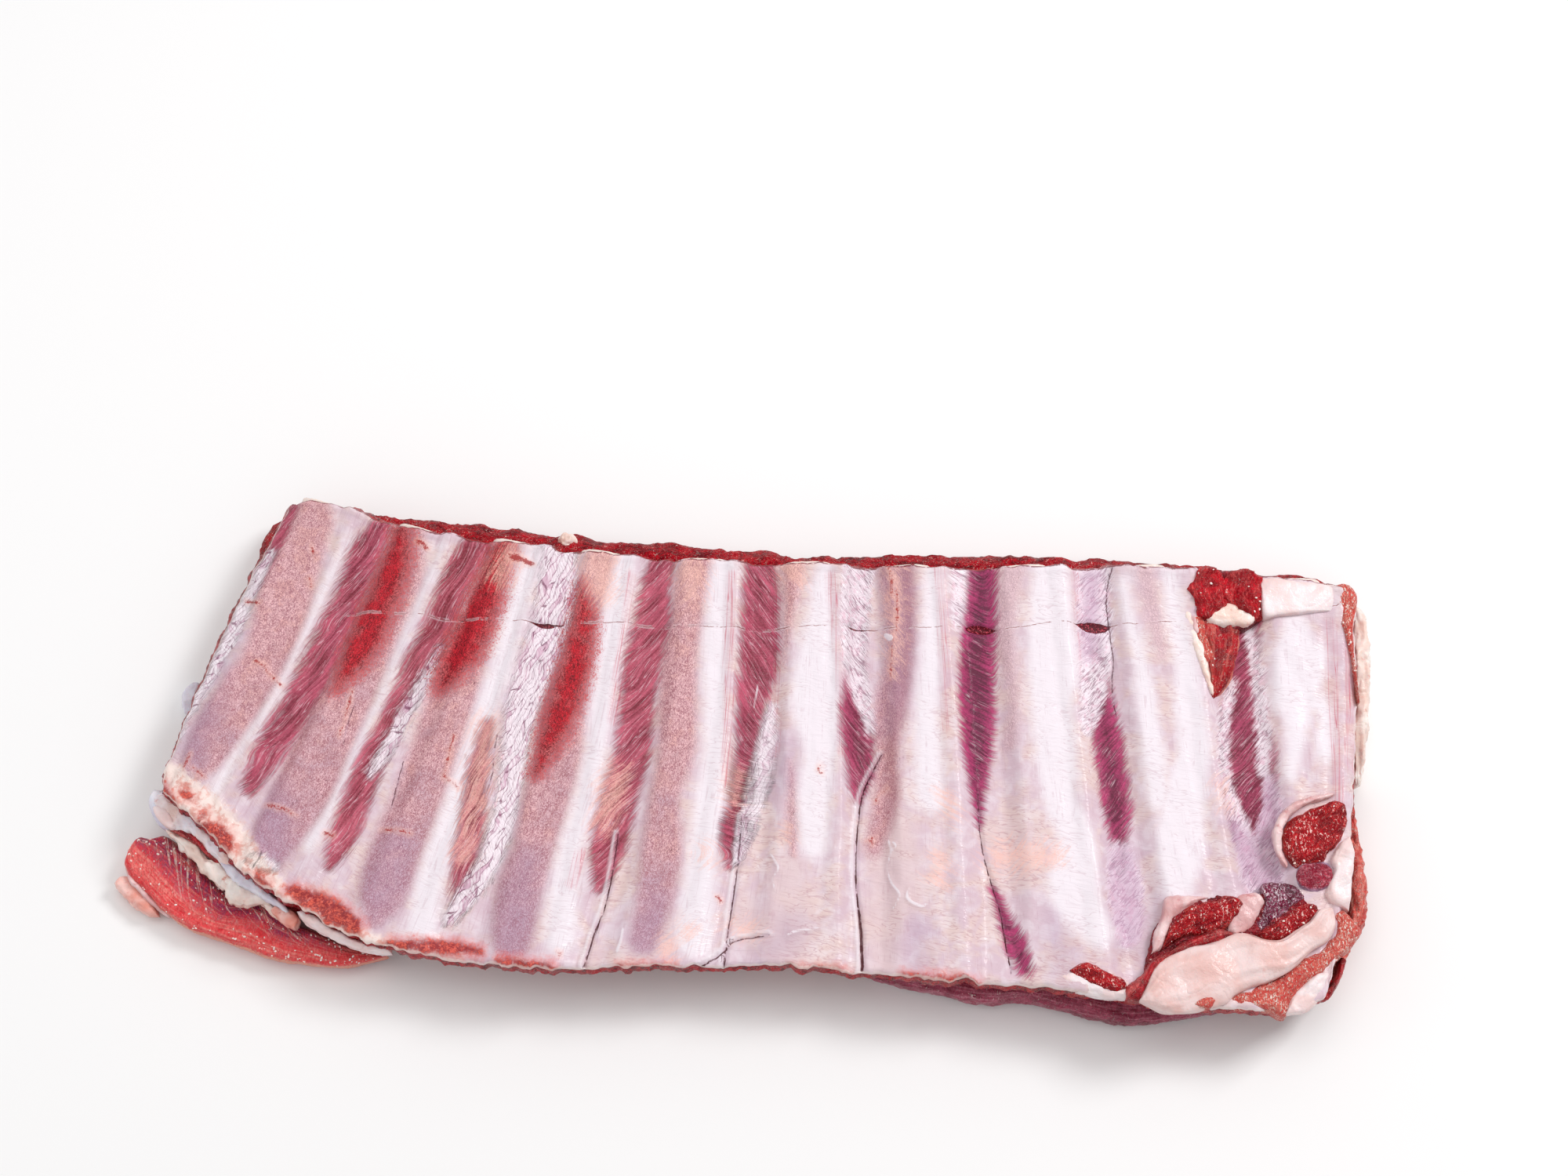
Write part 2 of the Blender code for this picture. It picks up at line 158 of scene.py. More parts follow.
# meshes
def gridFaces(rows, columns, closed=False, start=0):
    # quads between neighbours of a rows x columns grid; closed joins the last column to the first
    row, column = np.meshgrid(np.arange(rows - 1), np.arange(columns if closed else columns - 1),
                              indexing="ij")
    after = (column + 1) % columns
    quads = [row * columns + column, row * columns + after, (row + 1) * columns + after,
             (row + 1) * columns + column]
    return start + np.stack(quads, -1).reshape(-1, 4)


def fanFaces(loop, tip):
    # triangles from a closed loop to one point
    loop = np.asarray(loop)
    return np.stack([loop, np.roll(loop, -1), np.full(len(loop), tip)], -1)


def tubeFaces(rings, around):
    # closed rings joined in order, then a fan to a tip at each end; the tips are the last two points
    total = rings * around
    return [gridFaces(rings, around, True), fanFaces(np.arange(around), total),
            fanFaces(np.arange(total - around, total), total + 1)]


def makePiece(name, points, faces, material, node="", fields={}, maps={}):
    # points are in mm in the rack's own frame; fields are numbers and maps are pairs, one for each point
    mesh = bpy.data.meshes.new(name)
    mesh.from_pydata(((points + rackOrigin) * mm).tolist(), [],
                     [face for part in faces for face in part.tolist()])
    for key, values in fields.items():
        mesh.attributes.new(key, "FLOAT", "POINT").data.foreach_set("value",
                                                                    np.asarray(values, np.float32).ravel())
    corners = np.zeros(len(mesh.loops), np.int32)
    mesh.loops.foreach_get("vertex_index", corners)
    for key, values in maps.items():
        layer = mesh.uv_layers.new(name=key)
        layer.data.foreach_set("uv", np.asarray(values, np.float32).reshape(-1, 2)[corners].ravel())
    work = bmesh.new()
    work.from_mesh(mesh)
    bmesh.ops.recalc_face_normals(work, faces=work.faces)
    work.to_mesh(mesh)
    work.free()
    mesh.shade_smooth()
    piece = bpy.data.objects.new(name, mesh)
    bpy.context.scene.collection.objects.link(piece)
    mesh.materials.append(material)
    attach(piece, "root")
    if node:
        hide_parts(node)


# shader helpers
class Wire:
    # what a node puts out; arithmetic between wires and numbers makes Math nodes
    def __init__(self, socket):
        self.socket = socket

    def __add__(self, other):
        return calc("ADD", self, other)

    def __sub__(self, other):
        return calc("SUBTRACT", self, other)

    def __rsub__(self, other):
        return calc("SUBTRACT", other, self)

    def __mul__(self, other):
        return calc("MULTIPLY", self, other)

    def __rtruediv__(self, other):
        return calc("DIVIDE", other, self)

    def __abs__(self):
        return calc("ABSOLUTE", self)


def linear(red, green, blue):
    # a colour as a screen shows it, 0 to 255, in the numbers that a shader takes
    shown = np.array([red, green, blue]) / 255
    light = np.where(shown <= 0.04045, shown / 12.92, ((shown + 0.055) / 1.055) ** 2.4)
    return (*light.tolist(), 1.0)


def tonesOf(colours):
    return {key: linear(*value) for key, value in colours.items()}


def addNode(tree, kind, sockets={}, output=0, **settings):
    # a node with its sockets filled by wires or constants, and the wire from one of its outputs
    made = tree.nodes.new("ShaderNode" + kind)
    for key, value in settings.items():
        setattr(made, key, value)
    for key, value in sockets.items():
        if isinstance(value, Wire):
            tree.links.new(value.socket, made.inputs[key])
        else:
            made.inputs[key].default_value = value
    return Wire(made.outputs[output])


def treeOf(*values):
    return next(value.socket.id_data for value in values if isinstance(value, Wire))


def calc(operation, *values, clamp=False):
    return addNode(treeOf(*values), "Math", dict(enumerate(values)), operation=operation, use_clamp=clamp)


def ramp(value, low, high, toLow=0.0, toHigh=1.0):
    # toLow at low, toHigh at high and a smooth step between
    sockets = {"Value": value, "From Min": low, "From Max": high, "To Min": toLow, "To Max": toHigh}
    return addNode(treeOf(value), "MapRange", sockets, interpolation_type="SMOOTHSTEP")


def blend(factor, first, second):
    return addNode(treeOf(factor), "Mix", {0: factor, 6: first, 7: second}, 2, data_type="RGBA")


def shaken(value, *moves):
    # a field with its edge moved about by noises around a half, each by its own amount
    for around, amount in moves:
        value = value + (around - 0.5) * amount
    return value


def painted(tone, colour, *layers):
    # each layer is a mask, a colour or its name, and how much it covers
    for mask, over, amount in layers:
        colour = blend(mask * amount, colour, tone[over] if isinstance(over, str) else over)
    return colour


def stretched(vector, scale):
    return addNode(treeOf(vector), "Mapping", {"Vector": vector, "Scale": scale})


def turned(vector, degrees):
    sockets = {"Vector": vector, "Angle": math.radians(degrees)}
    return addNode(treeOf(vector), "VectorRotate", sockets, rotation_type="Z_AXIS")


def divided(vector, first, second):
    # the first two axes of a map divided by two lengths
    tree = treeOf(vector)
    scale = addNode(tree, "CombineXYZ", {"X": 1.0 / first, "Y": 1.0 / second, "Z": 1.0})
    return addNode(tree, "VectorMath", {0: vector, 1: scale}, operation="MULTIPLY")


def shrunk(vector, size):
    return addNode(treeOf(vector), "VectorMath", {0: vector, "Scale": 1.0 / size}, operation="SCALE")


def noiseNode(vector, scale, detail, roughness, distortion):
    sockets = {"Vector": vector, "Scale": scale, "Detail": detail, "Roughness": roughness,
               "Distortion": distortion}
    return addNode(treeOf(vector), "TexNoise", sockets, "Fac")


def cellNode(vector, scale=1.0, feature="DISTANCE_TO_EDGE", output="Distance", dimensions="2D"):
    sockets = {"Vector": vector, "Scale": scale}
    return addNode(treeOf(vector), "TexVoronoi", sockets, output, feature=feature,
                   voronoi_dimensions=dimensions)


def newGroup(name, outputs, **numbers):
    # a group that takes a Vector in mm and numbers; put links a wire to one of its outputs
    group = bpy.data.node_groups.new(name, "ShaderNodeTree")
    group.interface.new_socket("Vector", in_out="INPUT", socket_type="NodeSocketVector")
    for key, value in numbers.items():
        socket = group.interface.new_socket(key.capitalize(), in_out="INPUT", socket_type="NodeSocketFloat")
        socket.default_value = value
    for key in outputs:
        group.interface.new_socket(key, in_out="OUTPUT", socket_type="NodeSocketFloat")
    taken = group.nodes.new("NodeGroupInput").outputs
    sent = group.nodes.new("NodeGroupOutput").inputs

    def put(key, wire):
        group.links.new(wire.socket, sent[key])

    return group, {key: Wire(taken[key.capitalize()]) for key in ["vector", *numbers]}, put


def useGroup(group, vector, **numbers):
    # the wires from a group's outputs by their names
    tree = treeOf(vector)
    made = tree.nodes.new("ShaderNodeGroup")
    made.node_tree = group
    tree.links.new(vector.socket, made.inputs["Vector"])
    for key, value in numbers.items():
        made.inputs[key.capitalize()].default_value = value
    return {socket.name: Wire(socket) for socket in made.outputs}


def newMaterial(name, wet, wetRoughness, soft, specular=0.35, softReach=1.6):
    # the shader and its fixed numbers; colour, roughness and bump height are linked by finishMaterial
    material = bpy.data.materials.new(name)
    material.use_nodes = True
    shader = material.node_tree.nodes["Principled BSDF"]
    fixed = {
        "IOR": 1.4, "Specular IOR Level": specular, "Coat Weight": wet, "Coat Roughness": wetRoughness,
        "Coat IOR": 1.36,
        "Subsurface Weight": soft, "Subsurface Radius": (1.0, 0.35, 0.25), "Subsurface Scale": softReach * mm,
    }
    for key, value in fixed.items():
        shader.inputs[key].default_value = value
    return material, material.node_tree, shader


def finishMaterial(tree, shader, colour, roughness, height):
    # height is in mm
    bump = addNode(tree, "Bump", {"Height": height, "Distance": mm, "Strength": 1.0})
    for key, wire in {"Base Color": colour, "Roughness": roughness, "Normal": bump,
                      "Coat Normal": bump}.items():
        tree.links.new(wire.socket, shader.inputs[key])


def fieldNode(tree, name):
    return addNode(tree, "Attribute", {}, "Fac", attribute_name=name, attribute_type="GEOMETRY")


def mapNode(tree, name):
    return addNode(tree, "UVMap", uv_map=name)


def inMillimetres(tree):
    return stretched(addNode(tree, "TexCoord", {}, "Object"), (1000, 1000, 1000))


# shared effects
def makeFibreGroup():
    # bundles of fibres along the second axis of a map in mm: Streak is light and dark strands,
    # Sheath thin pale lines between bundles, Height their relief
    group, given, put = newGroup("meatFibre", ["Streak", "Sheath", "Height"], width=1.0, length=10.0,
                                 contrast=1.0)
    place = divided(given["vector"], given["width"], given["length"])
    coarse = noiseNode(place, 0.5, 2, 0.6, 0.4)
    both = coarse * 0.5 + noiseNode(place, 1.6, 2, 0.6, 0.2) * 0.5
    put("Streak", calc("ADD", (both - 0.5) * (given["contrast"] * 4.0), 0.5, clamp=True))
    put("Sheath", ramp(abs(coarse - 0.53), 0.022, 0.004))
    put("Height", both)
    return group


def makeFatGroup():
    # specks and threads of fat in meat: Mask is 1 in the fat
    group, given, put = newGroup("fatSpecks", ["Mask"], size=2.0, amount=0.3)
    place = shrunk(given["vector"], given["size"])
    specks = ramp(noiseNode(place, 0.8, 3, 0.65, 1.2) - (0.78 - given["amount"] * 0.35), 0.0, 0.05)
    thin = given["amount"] * 0.035
    threads = ramp(abs(noiseNode(place, 0.45, 2, 0.5, 2.0) - 0.5), thin, thin * 0.4)
    put("Mask", calc("MAXIMUM", specks, threads * 0.7))
    return group


def makeGrainGroup():
    # fine wet grain: Grain is 0 to 1, Fleck marks short dark flecks along the second axis
    group, given, put = newGroup("wetGrain", ["Grain", "Height", "Fleck"], size=0.6, flecks=0.3)
    place = shrunk(given["vector"], given["size"])
    rough = noiseNode(stretched(place, (1.0, 0.5, 1.0)), 0.8, 2, 0.6, 0.7)
    cloud = noiseNode(stretched(place, (0.22, 0.12, 1.0)), 0.9, 2, 0.5, 0.3)
    put("Grain", ramp(abs(rough - 0.5) + (cloud - 0.5) * 0.1, 0.005, 0.095))
    put("Height", rough)
    sparse = noiseNode(stretched(place, (1.5, 0.22, 1.0)), 1.0, 1, 0.5, 0.3)
    patch = noiseNode(stretched(place, (0.07, 0.05, 1.0)), 1.0, 1, 0.5, 0.0)
    put("Fleck", ramp(sparse + (patch - 0.5) * 0.5 - (0.86 - given["flecks"] * 0.2), 0.0, 0.03))
    return group


def makeWrinkleGroup():
    # fine wrinkles along the first axis of a map in mm: Lines is 1 on the folds, Height their relief
    group, given, put = newGroup("skinWrinkle", ["Lines", "Height"], spacing=0.8, length=3.0)
    tent = abs(noiseNode(divided(given["vector"], given["length"], given["spacing"]), 0.6, 2, 0.55, 0.5)
               - 0.5)
    put("Lines", ramp(tent, 0.034, 0.006))
    put("Height", tent)
    return group


def makePlateGroup():
    # angular plates of wrinkled skin, stretched along the first axis of a map in mm: Lines is 1 on their
    # borders, Tone a level for each plate, which stands for light and shade as if each plate were tilted
    group, given, put = newGroup("skinPlates", ["Lines", "Tone"], width=1.6, length=8.0)
    warp = noiseNode(given["vector"], 0.12, 2, 0.5, 0.0)
    bent = addNode(group, "CombineXYZ", {"Y": (warp - 0.5) * 5.0})
    moved = addNode(group, "VectorMath", {0: given["vector"], 1: bent}, operation="ADD")
    place = divided(moved, given["length"], given["width"])
    border = cellNode(place)
    level = addNode(group, "SeparateColor", {"Color": cellNode(place, 1.0, "F1", "Color")})
    put("Lines", ramp(border, 0.06, 0.015))
    put("Tone", level * 0.7 + ramp(border, 0.0, 0.4) * 0.3)
    return group


meatFibre = makeFibreGroup()
fatSpecks = makeFatGroup()
wetGrain = makeGrainGroup()
skinWrinkle = makeWrinkleGroup()
skinPlates = makePlateGroup()
print("shader groups made")

# the lining over the ribs and the meat between them
lining = {
    # each guide is a line from the far edge to the near edge: number, far x, far y, near x, near y, bow
    "guides": [
        (-0.35, -131, 76, -160.2, -7.9, -3.5), (0, -121, 75, -152, -14.3, 0), (1, -93, 67, -132, -33, 1),
        (2, -66, 63, -99.6, -49.6, 2), (3, -41, 60, -62, -56, 0), (4, -14, 58, -29, -56, 3.5),
        (5, 16, 57, 10, -56, 1.5), (6, 43, 56, 45, -59, 1.2), (7, 76, 56, 81, -62, 0.5),
        (8, 109, 56, 121, -67, -1.3), (9, 152, 52, 149, -65, 0.5), (9.45, 168, 49, 153, -58.5, 3.8),
    ],
    "left": -0.35, "right": 9.45, "length": 125,  # the ends of the fan by number, and about how long a rib is
    "acrossCells": 548, "alongCells": 158, "wallRows": 7,
    "valleyTop": 17.9, "ribRise": 3.0, "arch": 3.0, "undulation": 0.35, "strand": 0.16, "wrinkle": 0.4,
    "grain": 0.05, "slitDepth": 1.4, "scoreDepth": 1.1, "edgeRound": 1.1, "rag": 0.55, "floor": 0.3,
    # for the meat right of each rib, the part left of the first rib being the last number: how dark it is,
    # how closely its strands follow the rib, and 1 where they turn to a V with a flatter left side
    "dark": [0.35, 0.25, 0.3, 0.3, 0.4, 0.7, 1.0, 0.9, 0.6, 0.4, 0.35],
    "lean": [4.4, 4.8, 4.0, 1.5, -1.5, -1.3, 1.4, 1.1, 1.1, 1.3, 3.0],
    "bend": [0, 0, 0, 0, 0, 0, 1.1, 0, 0, 0, 0],
}
liningMarks = {
    # strokes of (x, y, half width) in mm, in the rack's own frame, read off the photograph
    "face": [
        [(-124.7, 69.8, 7.3), (-130, 52.8, 9), (-131.3, 41.1, 8.1), (-133.9, 29.6, 7.7), (-141.8, 16, 8.1),
        (-148.3, 2.7, 7.1), (-152.3, -5.3, 3.9)], [(-96.8, 64.5, 5.6), (-99.9, 52.8, 8.6),
        (-104.4, 41.1, 8.8), (-107.8, 29.6, 8.4), (-113.2, 16, 9), (-117.8, 2.7, 9.2), (-122.1, -10.5, 9),
        (-128.3, -23.5, 6.9), (-131.2, -34.2, 3)], [(-69.5, 61, 5.1), (-72.8, 52.8, 5.8), (-75.8, 41.1, 6.4),
        (-80.5, 29.6, 8.1), (-83.2, 16, 7.7), (-86.6, 2.7, 7.7), (-90.3, -10.5, 7.7), (-94.6, -23.5, 8.1),
        (-97.6, -36.3, 7.1), (-98.8, -43, 3.4)], [(-42.2, 58.6, 4.7), (-43.4, 52.8, 5.1), (-46.3, 41.1, 5.1),
        (-49.2, 29.6, 6.9), (-52, 16, 7.7), (-52.6, 2.7, 7.3), (-55.3, -10.5, 7.3), (-57.8, -23.5, 6.4),
        (-61.7, -36.3, 6.9), (-62.6, -48.9, 6)], [(-14.8, 57, 4.7), (-16.5, 52.8, 5.1), (-18.1, 41.1, 5.1),
        (-19.9, 29.6, 5.4), (-20.3, 16, 5.8), (-20.5, 2.7, 5.6), (-23.3, -10.5, 4.7), (-23.7, -23.5, 6),
        (-25.1, -36.3, 5.6), (-27.9, -48.9, 4.3)], [(11.4, 55.6, 3.8), (11, 48.1, 2.8), (10.1, 38.8, 1.6),
        (8.7, 27.3, 0.6)], [(10.6, 0, 0.6), (11.4, -8, 1.9), (11.8, -18, 2.3), (11.4, -26, 1.2)],
        [(40.2, 55.1, 5.6), (41.3, 41.1, 4.9), (40.9, 29.6, 4.5), (38.3, 16, 5.1), (37, 2.7, 3.9),
        (36.7, -10.5, 4.3), (33, -23.5, 3)], [(72.8, 54.6, 4.1), (70.3, 41.1, 3.6), (71, 29.6, 2.8),
        (72.1, 16, 2.1), (70.6, 4.9, 2.1)], [(109.7, 53.9, 3.2), (111.6, 41.1, 2.8), (113.4, 29.6, 1.7)],
    ],
    "beige": [
        [(11.5, -29.9, 4.7), (9.4, -40.5, 5.6), (9, -52, 5.1)], [(38.5, -19.2, 5.6), (38.2, -34.2, 7.7),
        (35.5, -46.8, 4.7), (35.8, -56.2, 4.3)], [(70, -22.4, 6), (71.8, -32.1, 3)], [(-24.4, -38.4, 2.1),
        (-22.1, -51, 3.4)], [(103.4, -46.8, 3), (106.2, -53.1, 3)], [(-0.4, -38.4, 2.6), (0.7, -48.9, 3)],
    ],
    # white shoulders along the ribs: partly pale fascia, partly painted highlight
    "fasciaAndHighlight": [
        [(-112.8, 64.5, 1.8), (-117.9, 52.8, 2.2), (-121.7, 41.1, 2), (-126.3, 29.6, 2), (-131.9, 16, 1.9),
        (-139.4, 2.7, 2), (-144.9, -9.4, 3)], [(-86.9, 61, 1.3), (-89.8, 52.8, 1.5), (-93.9, 41.1, 1.5),
        (-98, 29.6, 1.5), (-102.6, 16, 1.3), (-107.7, 2.7, 1.3), (-111.9, -10.5, 1.3), (-117.8, -23.5, 2.6)],
        [(-60.8, 59.3, 2.1), (-62.5, 52.8, 2.6), (-66.2, 41.1, 2.4), (-68.1, 29.6, 3), (-72.4, 16, 2.8),
        (-76.3, 2.7, 2.4), (-79.5, -10.5, 2.6), (-83, -23.5, 3), (-85.7, -36.3, 3.6), (-86.5, -46.8, 3.9)],
        [(-35.1, 57, 2.8), (-37.6, 41.1, 3.3), (-39, 29.6, 3.2), (-41, 16, 2.8), (-42.1, 2.7, 2.6),
        (-44.9, -10.5, 2.6), (-47.9, -23.5, 3), (-49.3, -36.3, 3.9), (-49.9, -48.9, 3.9)], [(-7.8, 55.1, 3.2),
        (-9, 41.1, 3.3), (-9.7, 29.6, 3.2), (-9.8, 16, 3), (-9.8, 2.7, 2.8), (-11.2, -10.5, 3.9),
        (-12.7, -23.5, 3.4), (-13.4, -36.3, 4.3), (-14.7, -48.9, 4.7)], [(20.4, 53.2, 2.6), (19.4, 41.1, 3.9),
        (18.5, 29.6, 5.6), (17.6, 16, 6.4), (18.8, 2.7, 4.3), (17, -10.5, 4.3), (17, -23.5, 3.4)],
        [(50.8, 53.2, 2.6), (50.3, 41.1, 2.6), (49.8, 29.6, 3), (48.2, 16, 3), (48.3, 2.7, 3.4),
        (48.8, -10.5, 3.4)], [(83.7, 53.2, 5.1), (83.2, 41.1, 6), (83.8, 29.6, 7.3), (82.2, 16, 5.6),
        (83.1, 2.7, 5.6), (83.6, -10.5, 4.3), (87.7, -23.5, 5.1), (85.8, -36.3, 6.4), (92, -46.8, 3.9)],
        [(116.7, 52.8, 2.1), (117.5, 41.1, 2.4), (119.7, 29.6, 2.8), (119.9, 16, 3.9), (120.5, 2.7, 4.3),
        (117.1, -10.5, 5.6), (115.3, -23.5, 6.4), (113.6, -34.2, 4.3)], [(103.5, 51.6, 1.1),
        (104.6, 41.1, 1.3), (107.1, 29.6, 1.7), (108.5, 16, 2.6), (109.4, 2.7, 3), (110.3, -10.5, 3)],
        [(150.8, 38.8, 3), (150.5, 29.6, 6), (146.8, 16, 3), (156.3, 16, 2.1), (156.4, 2.7, 2.6)],
        [(154.8, 29.2, 4.3), (151.5, 20.5, 4.3), (147.9, 2.7, 2.1), (146.3, -4, 1.7)],
    ],
    "muscle": [
        [(-102.9, 72.9, 1.9), (-108.2, 62.2, 3.9), (-111.5, 52.8, 3.6), (-115.3, 41.1, 4.1),
        (-119.5, 29.6, 4.3), (-125.2, 16, 3.6), (-131.5, 2.7, 3.4), (-136, -7.3, 1.5)], [(-74.2, 68.8, 3),
        (-78.7, 61, 3.9), (-82.7, 52.8, 3.6), (-86.3, 41.1, 3.6), (-92, 29.6, 3), (-96.8, 16, 2.8),
        (-102.4, 2.7, 3), (-106.6, -10.5, 3.2), (-110.6, -23.5, 2.6), (-112.7, -28.9, 0.9)],
        [(-72.2, 10.4, 1.3), (-73.9, 0.4, 2.6), (-74.9, -12.7, 3), (-76.1, -23.5, 3), (-76.8, -34.2, 2.6),
        (-78.5, -41.6, 1.1)], [(-25.2, 58.4, 3.6), (-26.7, 52.8, 3.6), (-27.5, 41.1, 4.5), (-29.9, 29.6, 4.7),
        (-31.3, 16, 4.3), (-32.5, 2.7, 4.5), (-35.8, -10.5, 4.5), (-38.2, -23.5, 4.3), (-40.4, -34.2, 1.5)],
        [(2.4, 57, 4.1), (2.4, 41.1, 4.9), (2, 29.6, 5.1), (-0.1, 16, 3.6), (-1.5, 2.7, 2.4),
        (-3.1, -10.5, 2.6), (-4.7, -23.5, 3), (-5.3, -27.8, 1.1)], [(30.1, 57, 3), (29.5, 38.8, 1.9),
        (28.9, 25.1, 2.3), (28.3, 16, 3.6), (29.4, 4.9, 3.9), (29.6, -4, 3), (28.9, -9.7, 0.9)],
        [(64.5, 54.6, 3.8), (63.6, 41.1, 4.2), (62.6, 29.6, 4.8), (62.2, 16, 4.7), (62, 2.7, 3.8),
        (61.6, -8.3, 1.9), (62, -17, 0.6)], [(96, 35, 0.4), (96.6, 27, 1.6), (96.8, 17, 2.8), (97.6, 8, 3.8),
        (98.2, 1, 3.9), (98.6, -5, 3.9), (99.2, -13, 3.6), (99.2, -23.5, 1.6), (98.9, -29.9, 0.4)],
        [(137.9, 41.1, 3.4), (136, 27.3, 3.9), (134.7, 16, 5.1), (135.7, 2.7, 6.9), (135.4, -10.5, 6.6),
        (136.5, -23.5, 5.1), (137.8, -32.1, 2.6)], [(-131.1, 75.3, 2.8), (-134.5, 64.5, 2.6),
        (-138, 53.9, 1.5), (-140.8, 45.3, 0.6)], [(64.8, -34, 0.4), (66.6, -40, 1.3), (68.9, -46, 2.1),
        (70.8, -51.6, 2.3), (72.3, -56.4, 1.7)],
    ],
    "silver": [
        [(138.2, 40, 1.2), (139.4, 33, 1.4), (140.2, 20, 1.6), (140.6, 9, 1.6), (139.8, -2, 1.5)],
        [(-86.7, 33.1, 0.9), (-94.4, 16, 1.7), (-99.7, 3.8, 1.7), (-103.9, -2.9, 0.6)], [(-53.8, 60.8, 4.3),
        (-55.3, 41.1, 5.1), (-59.8, 27.3, 4.7), (-63, 16, 3.9), (-64.8, 2.7, 3.4), (-66.3, -10.5, 3.2),
        (-68.9, -23.5, 3), (-73.9, -34.2, 3), (-79.7, -43, 1.7)], [(5.7, 16, 1.1), (4.3, 4.9, 2.6),
        (1.3, -8.3, 3), (-1.6, -19.2, 2.1), (-3.6, -26.7, 1.1)], [(29.9, 57, 4.3), (28.8, 41.1, 3.9),
        (28.5, 27.3, 3), (31.4, 16, 1.9), (32.6, 9.3, 0.9)], [(95.8, 56.3, 4.3), (95.4, 38.8, 4.7),
        (95, 27.3, 4.3), (93.4, 16, 3), (91.6, 9.3, 1.7)], [(99.4, -24.6, 3), (100.1, -36.3, 5.1),
        (100.3, -46.8, 3.4)], [(132.6, 22.8, 1.5), (129.9, 11.6, 1.7), (129.3, -6.2, 1.9),
        (133.3, -21.4, 3.4), (135.9, -32.1, 4.8), (135.4, -38.4, 1.7)], [(140.6, -3, 1.2), (141.4, -12, 2.4),
        (139.6, -20, 3.4), (138.6, -28, 4.6), (140, -33.6, 3)], [(-135.7, 61, 1.3), (-141, 47.6, 2.1),
        (-144.5, 37, 2.1), (-150.6, 23.3, 1.5), (-154.6, 14.9, 1.1), (-157.1, 7.1, 0.6)],
        [(-133.4, -27.4, 0.9), (-130, -28.2, 1.7), (-126.3, -29.9, 0.9)], [(57.9, 57, 2.1), (57.6, 46.9, 1.9),
        (56.7, 38.8, 1.1)],
    ],
    "blood": [
        [(-98.9, 69.8, 2.1), (-98.9, 62.2, 3.6), (-101.6, 51.6, 4.7), (-105.1, 41.1, 5.1),
        (-108.4, 31.9, 4.7), (-112.2, 24.6, 2.6), (-114.5, 20.5, 0.9)], [(-69.6, 63.5, 2.4),
        (-71.6, 56.3, 3.9), (-75.6, 43.4, 5.3), (-79, 34.2, 5.7), (-82.8, 27.3, 4.6), (-85.6, 22.4, 2.2)],
        [(-47.7, 49.9, 1.5), (-47, 41.1, 3.4), (-48.5, 28.5, 4.3), (-51.4, 17.2, 4.5), (-54.5, 7.1, 3.9),
        (-58, -2.2, 1.9)],
    ],
    "slit": [
        [(-35.8, -19.6, 0.1), (-37, -29.9, 0.3), (-38.4, -38.4, 0.3), (-41.5, -47.9, 0.4),
        (-43.7, -55.7, 0.4)], [(-2.5, -14.9, 0.1), (-3.2, -26.1, 0.2), (-4.8, -39, 0.3), (-6.4, -51.2, 0.3),
        (-6.9, -56.8, 0.3)], [(4.8, -47.9, 0.1), (-0.4, -48.3, 0.2), (-4.5, -49.3, 0.2), (-6.8, -51.8, 0.3),
        (-14.2, -56.8, 0.3)], [(35.5, 2.2, 0.1), (32.8, -2.9, 0.3), (30.9, -6.8, 0.4), (29, -17.3, 0.4),
        (28.3, -25.4, 0.4), (28.4, -35.7, 0.4), (29.3, -44.5, 0.6), (29.6, -56.8, 0.6)], [(61.8, -8.3, 0.2),
        (61.8, -17.3, 0.3), (63, -26.9, 0.3), (64.8, -34.2, 0.3), (66.5, -40.5, 0.3), (67.6, -48.9, 0.4),
        (68.8, -57.2, 0.3)], [(100.8, 55.3, 0), (99.6, 51.2, 0.1), (99, 45.7, 0), (99.4, 40.2, 0),
        (99.9, 34.8, 0.1), (100.3, 28.5, 0.15), (99.7, 23.1, 0.1), (99.8, 18.7, 0), (100.5, 12.5, -0.3)],
        [(-95, 0.7, -0.1), (-96.3, -6.2, 0), (-97.4, -12.3, -0.1)], [(-69.2, 7.5, -0.35), (-70, 3, -0.2),
        (-70.2, -2, -0.25), (-71.4, -8, -0.4)], [(-108.6, 16.5, -0.4), (-110.3, 10.5, -0.25),
        (-111.1, 4, -0.4)],
    ],
    "score": [
        [(-113.5, 43.2, 0.1), (-109.3, 43, 0.2), (-100.4, 42.5, 0.1), (-90.7, 42, 0.1), (-82.4, 41.3, 0.3),
        (-78.2, 40.9, 0.3), (-69.7, 40.4, 0), (-62.6, 40, 0.2), (-59.6, 39.6, 0.7), (-56.6, 39.4, 0.9),
        (-53.5, 39.5, 0.4), (-48, 39.6, 0.1), (-43.4, 39.5, 0.1), (-30.3, 39.5, 0.1), (-19.8, 38.8, 0.1),
        (-6.3, 38.3, 0.1), (9, 38.3, 0.1), (24.2, 38.6, 0.1), (29, 38.3, 0.6), (33.4, 38.3, 0.2),
        (43.9, 38, -0.1), (52.8, 38.2, -0.1), (58.5, 38.8, 0.1), (61.2, 38.6, 1.2), (64.8, 38.4, 1.4),
        (68.4, 37.9, 0.3), (76, 38.4, -0.1), (86.3, 39.8, 0), (90.2, 39.4, 0.3), (92.6, 39.3, 1.3),
        (95.3, 38.8, 1.7), (98.3, 38.7, 1.2), (100.9, 39.2, 0.2), (108.6, 39, -0.1), (114.6, 39.7, -0.1),
        (119.8, 39.8, -0.1)], [(133.9, 40.7, 0.2), (140, 41.1, 0.3), (151, 42, 0.2), (162.6, 44.1, 0.2)],
    ],
    "lilac": [
        [(-149.9, 14.9, 3.9), (-153.7, 4.9, 5.1), (-153.8, -2.9, 3)], [(-128.7, -8.3, 3),
        (-129.3, -19.2, 6.4), (-128, -26.7, 4.3)], [(-95.2, -23.5, 4.3), (-97.3, -34.2, 6),
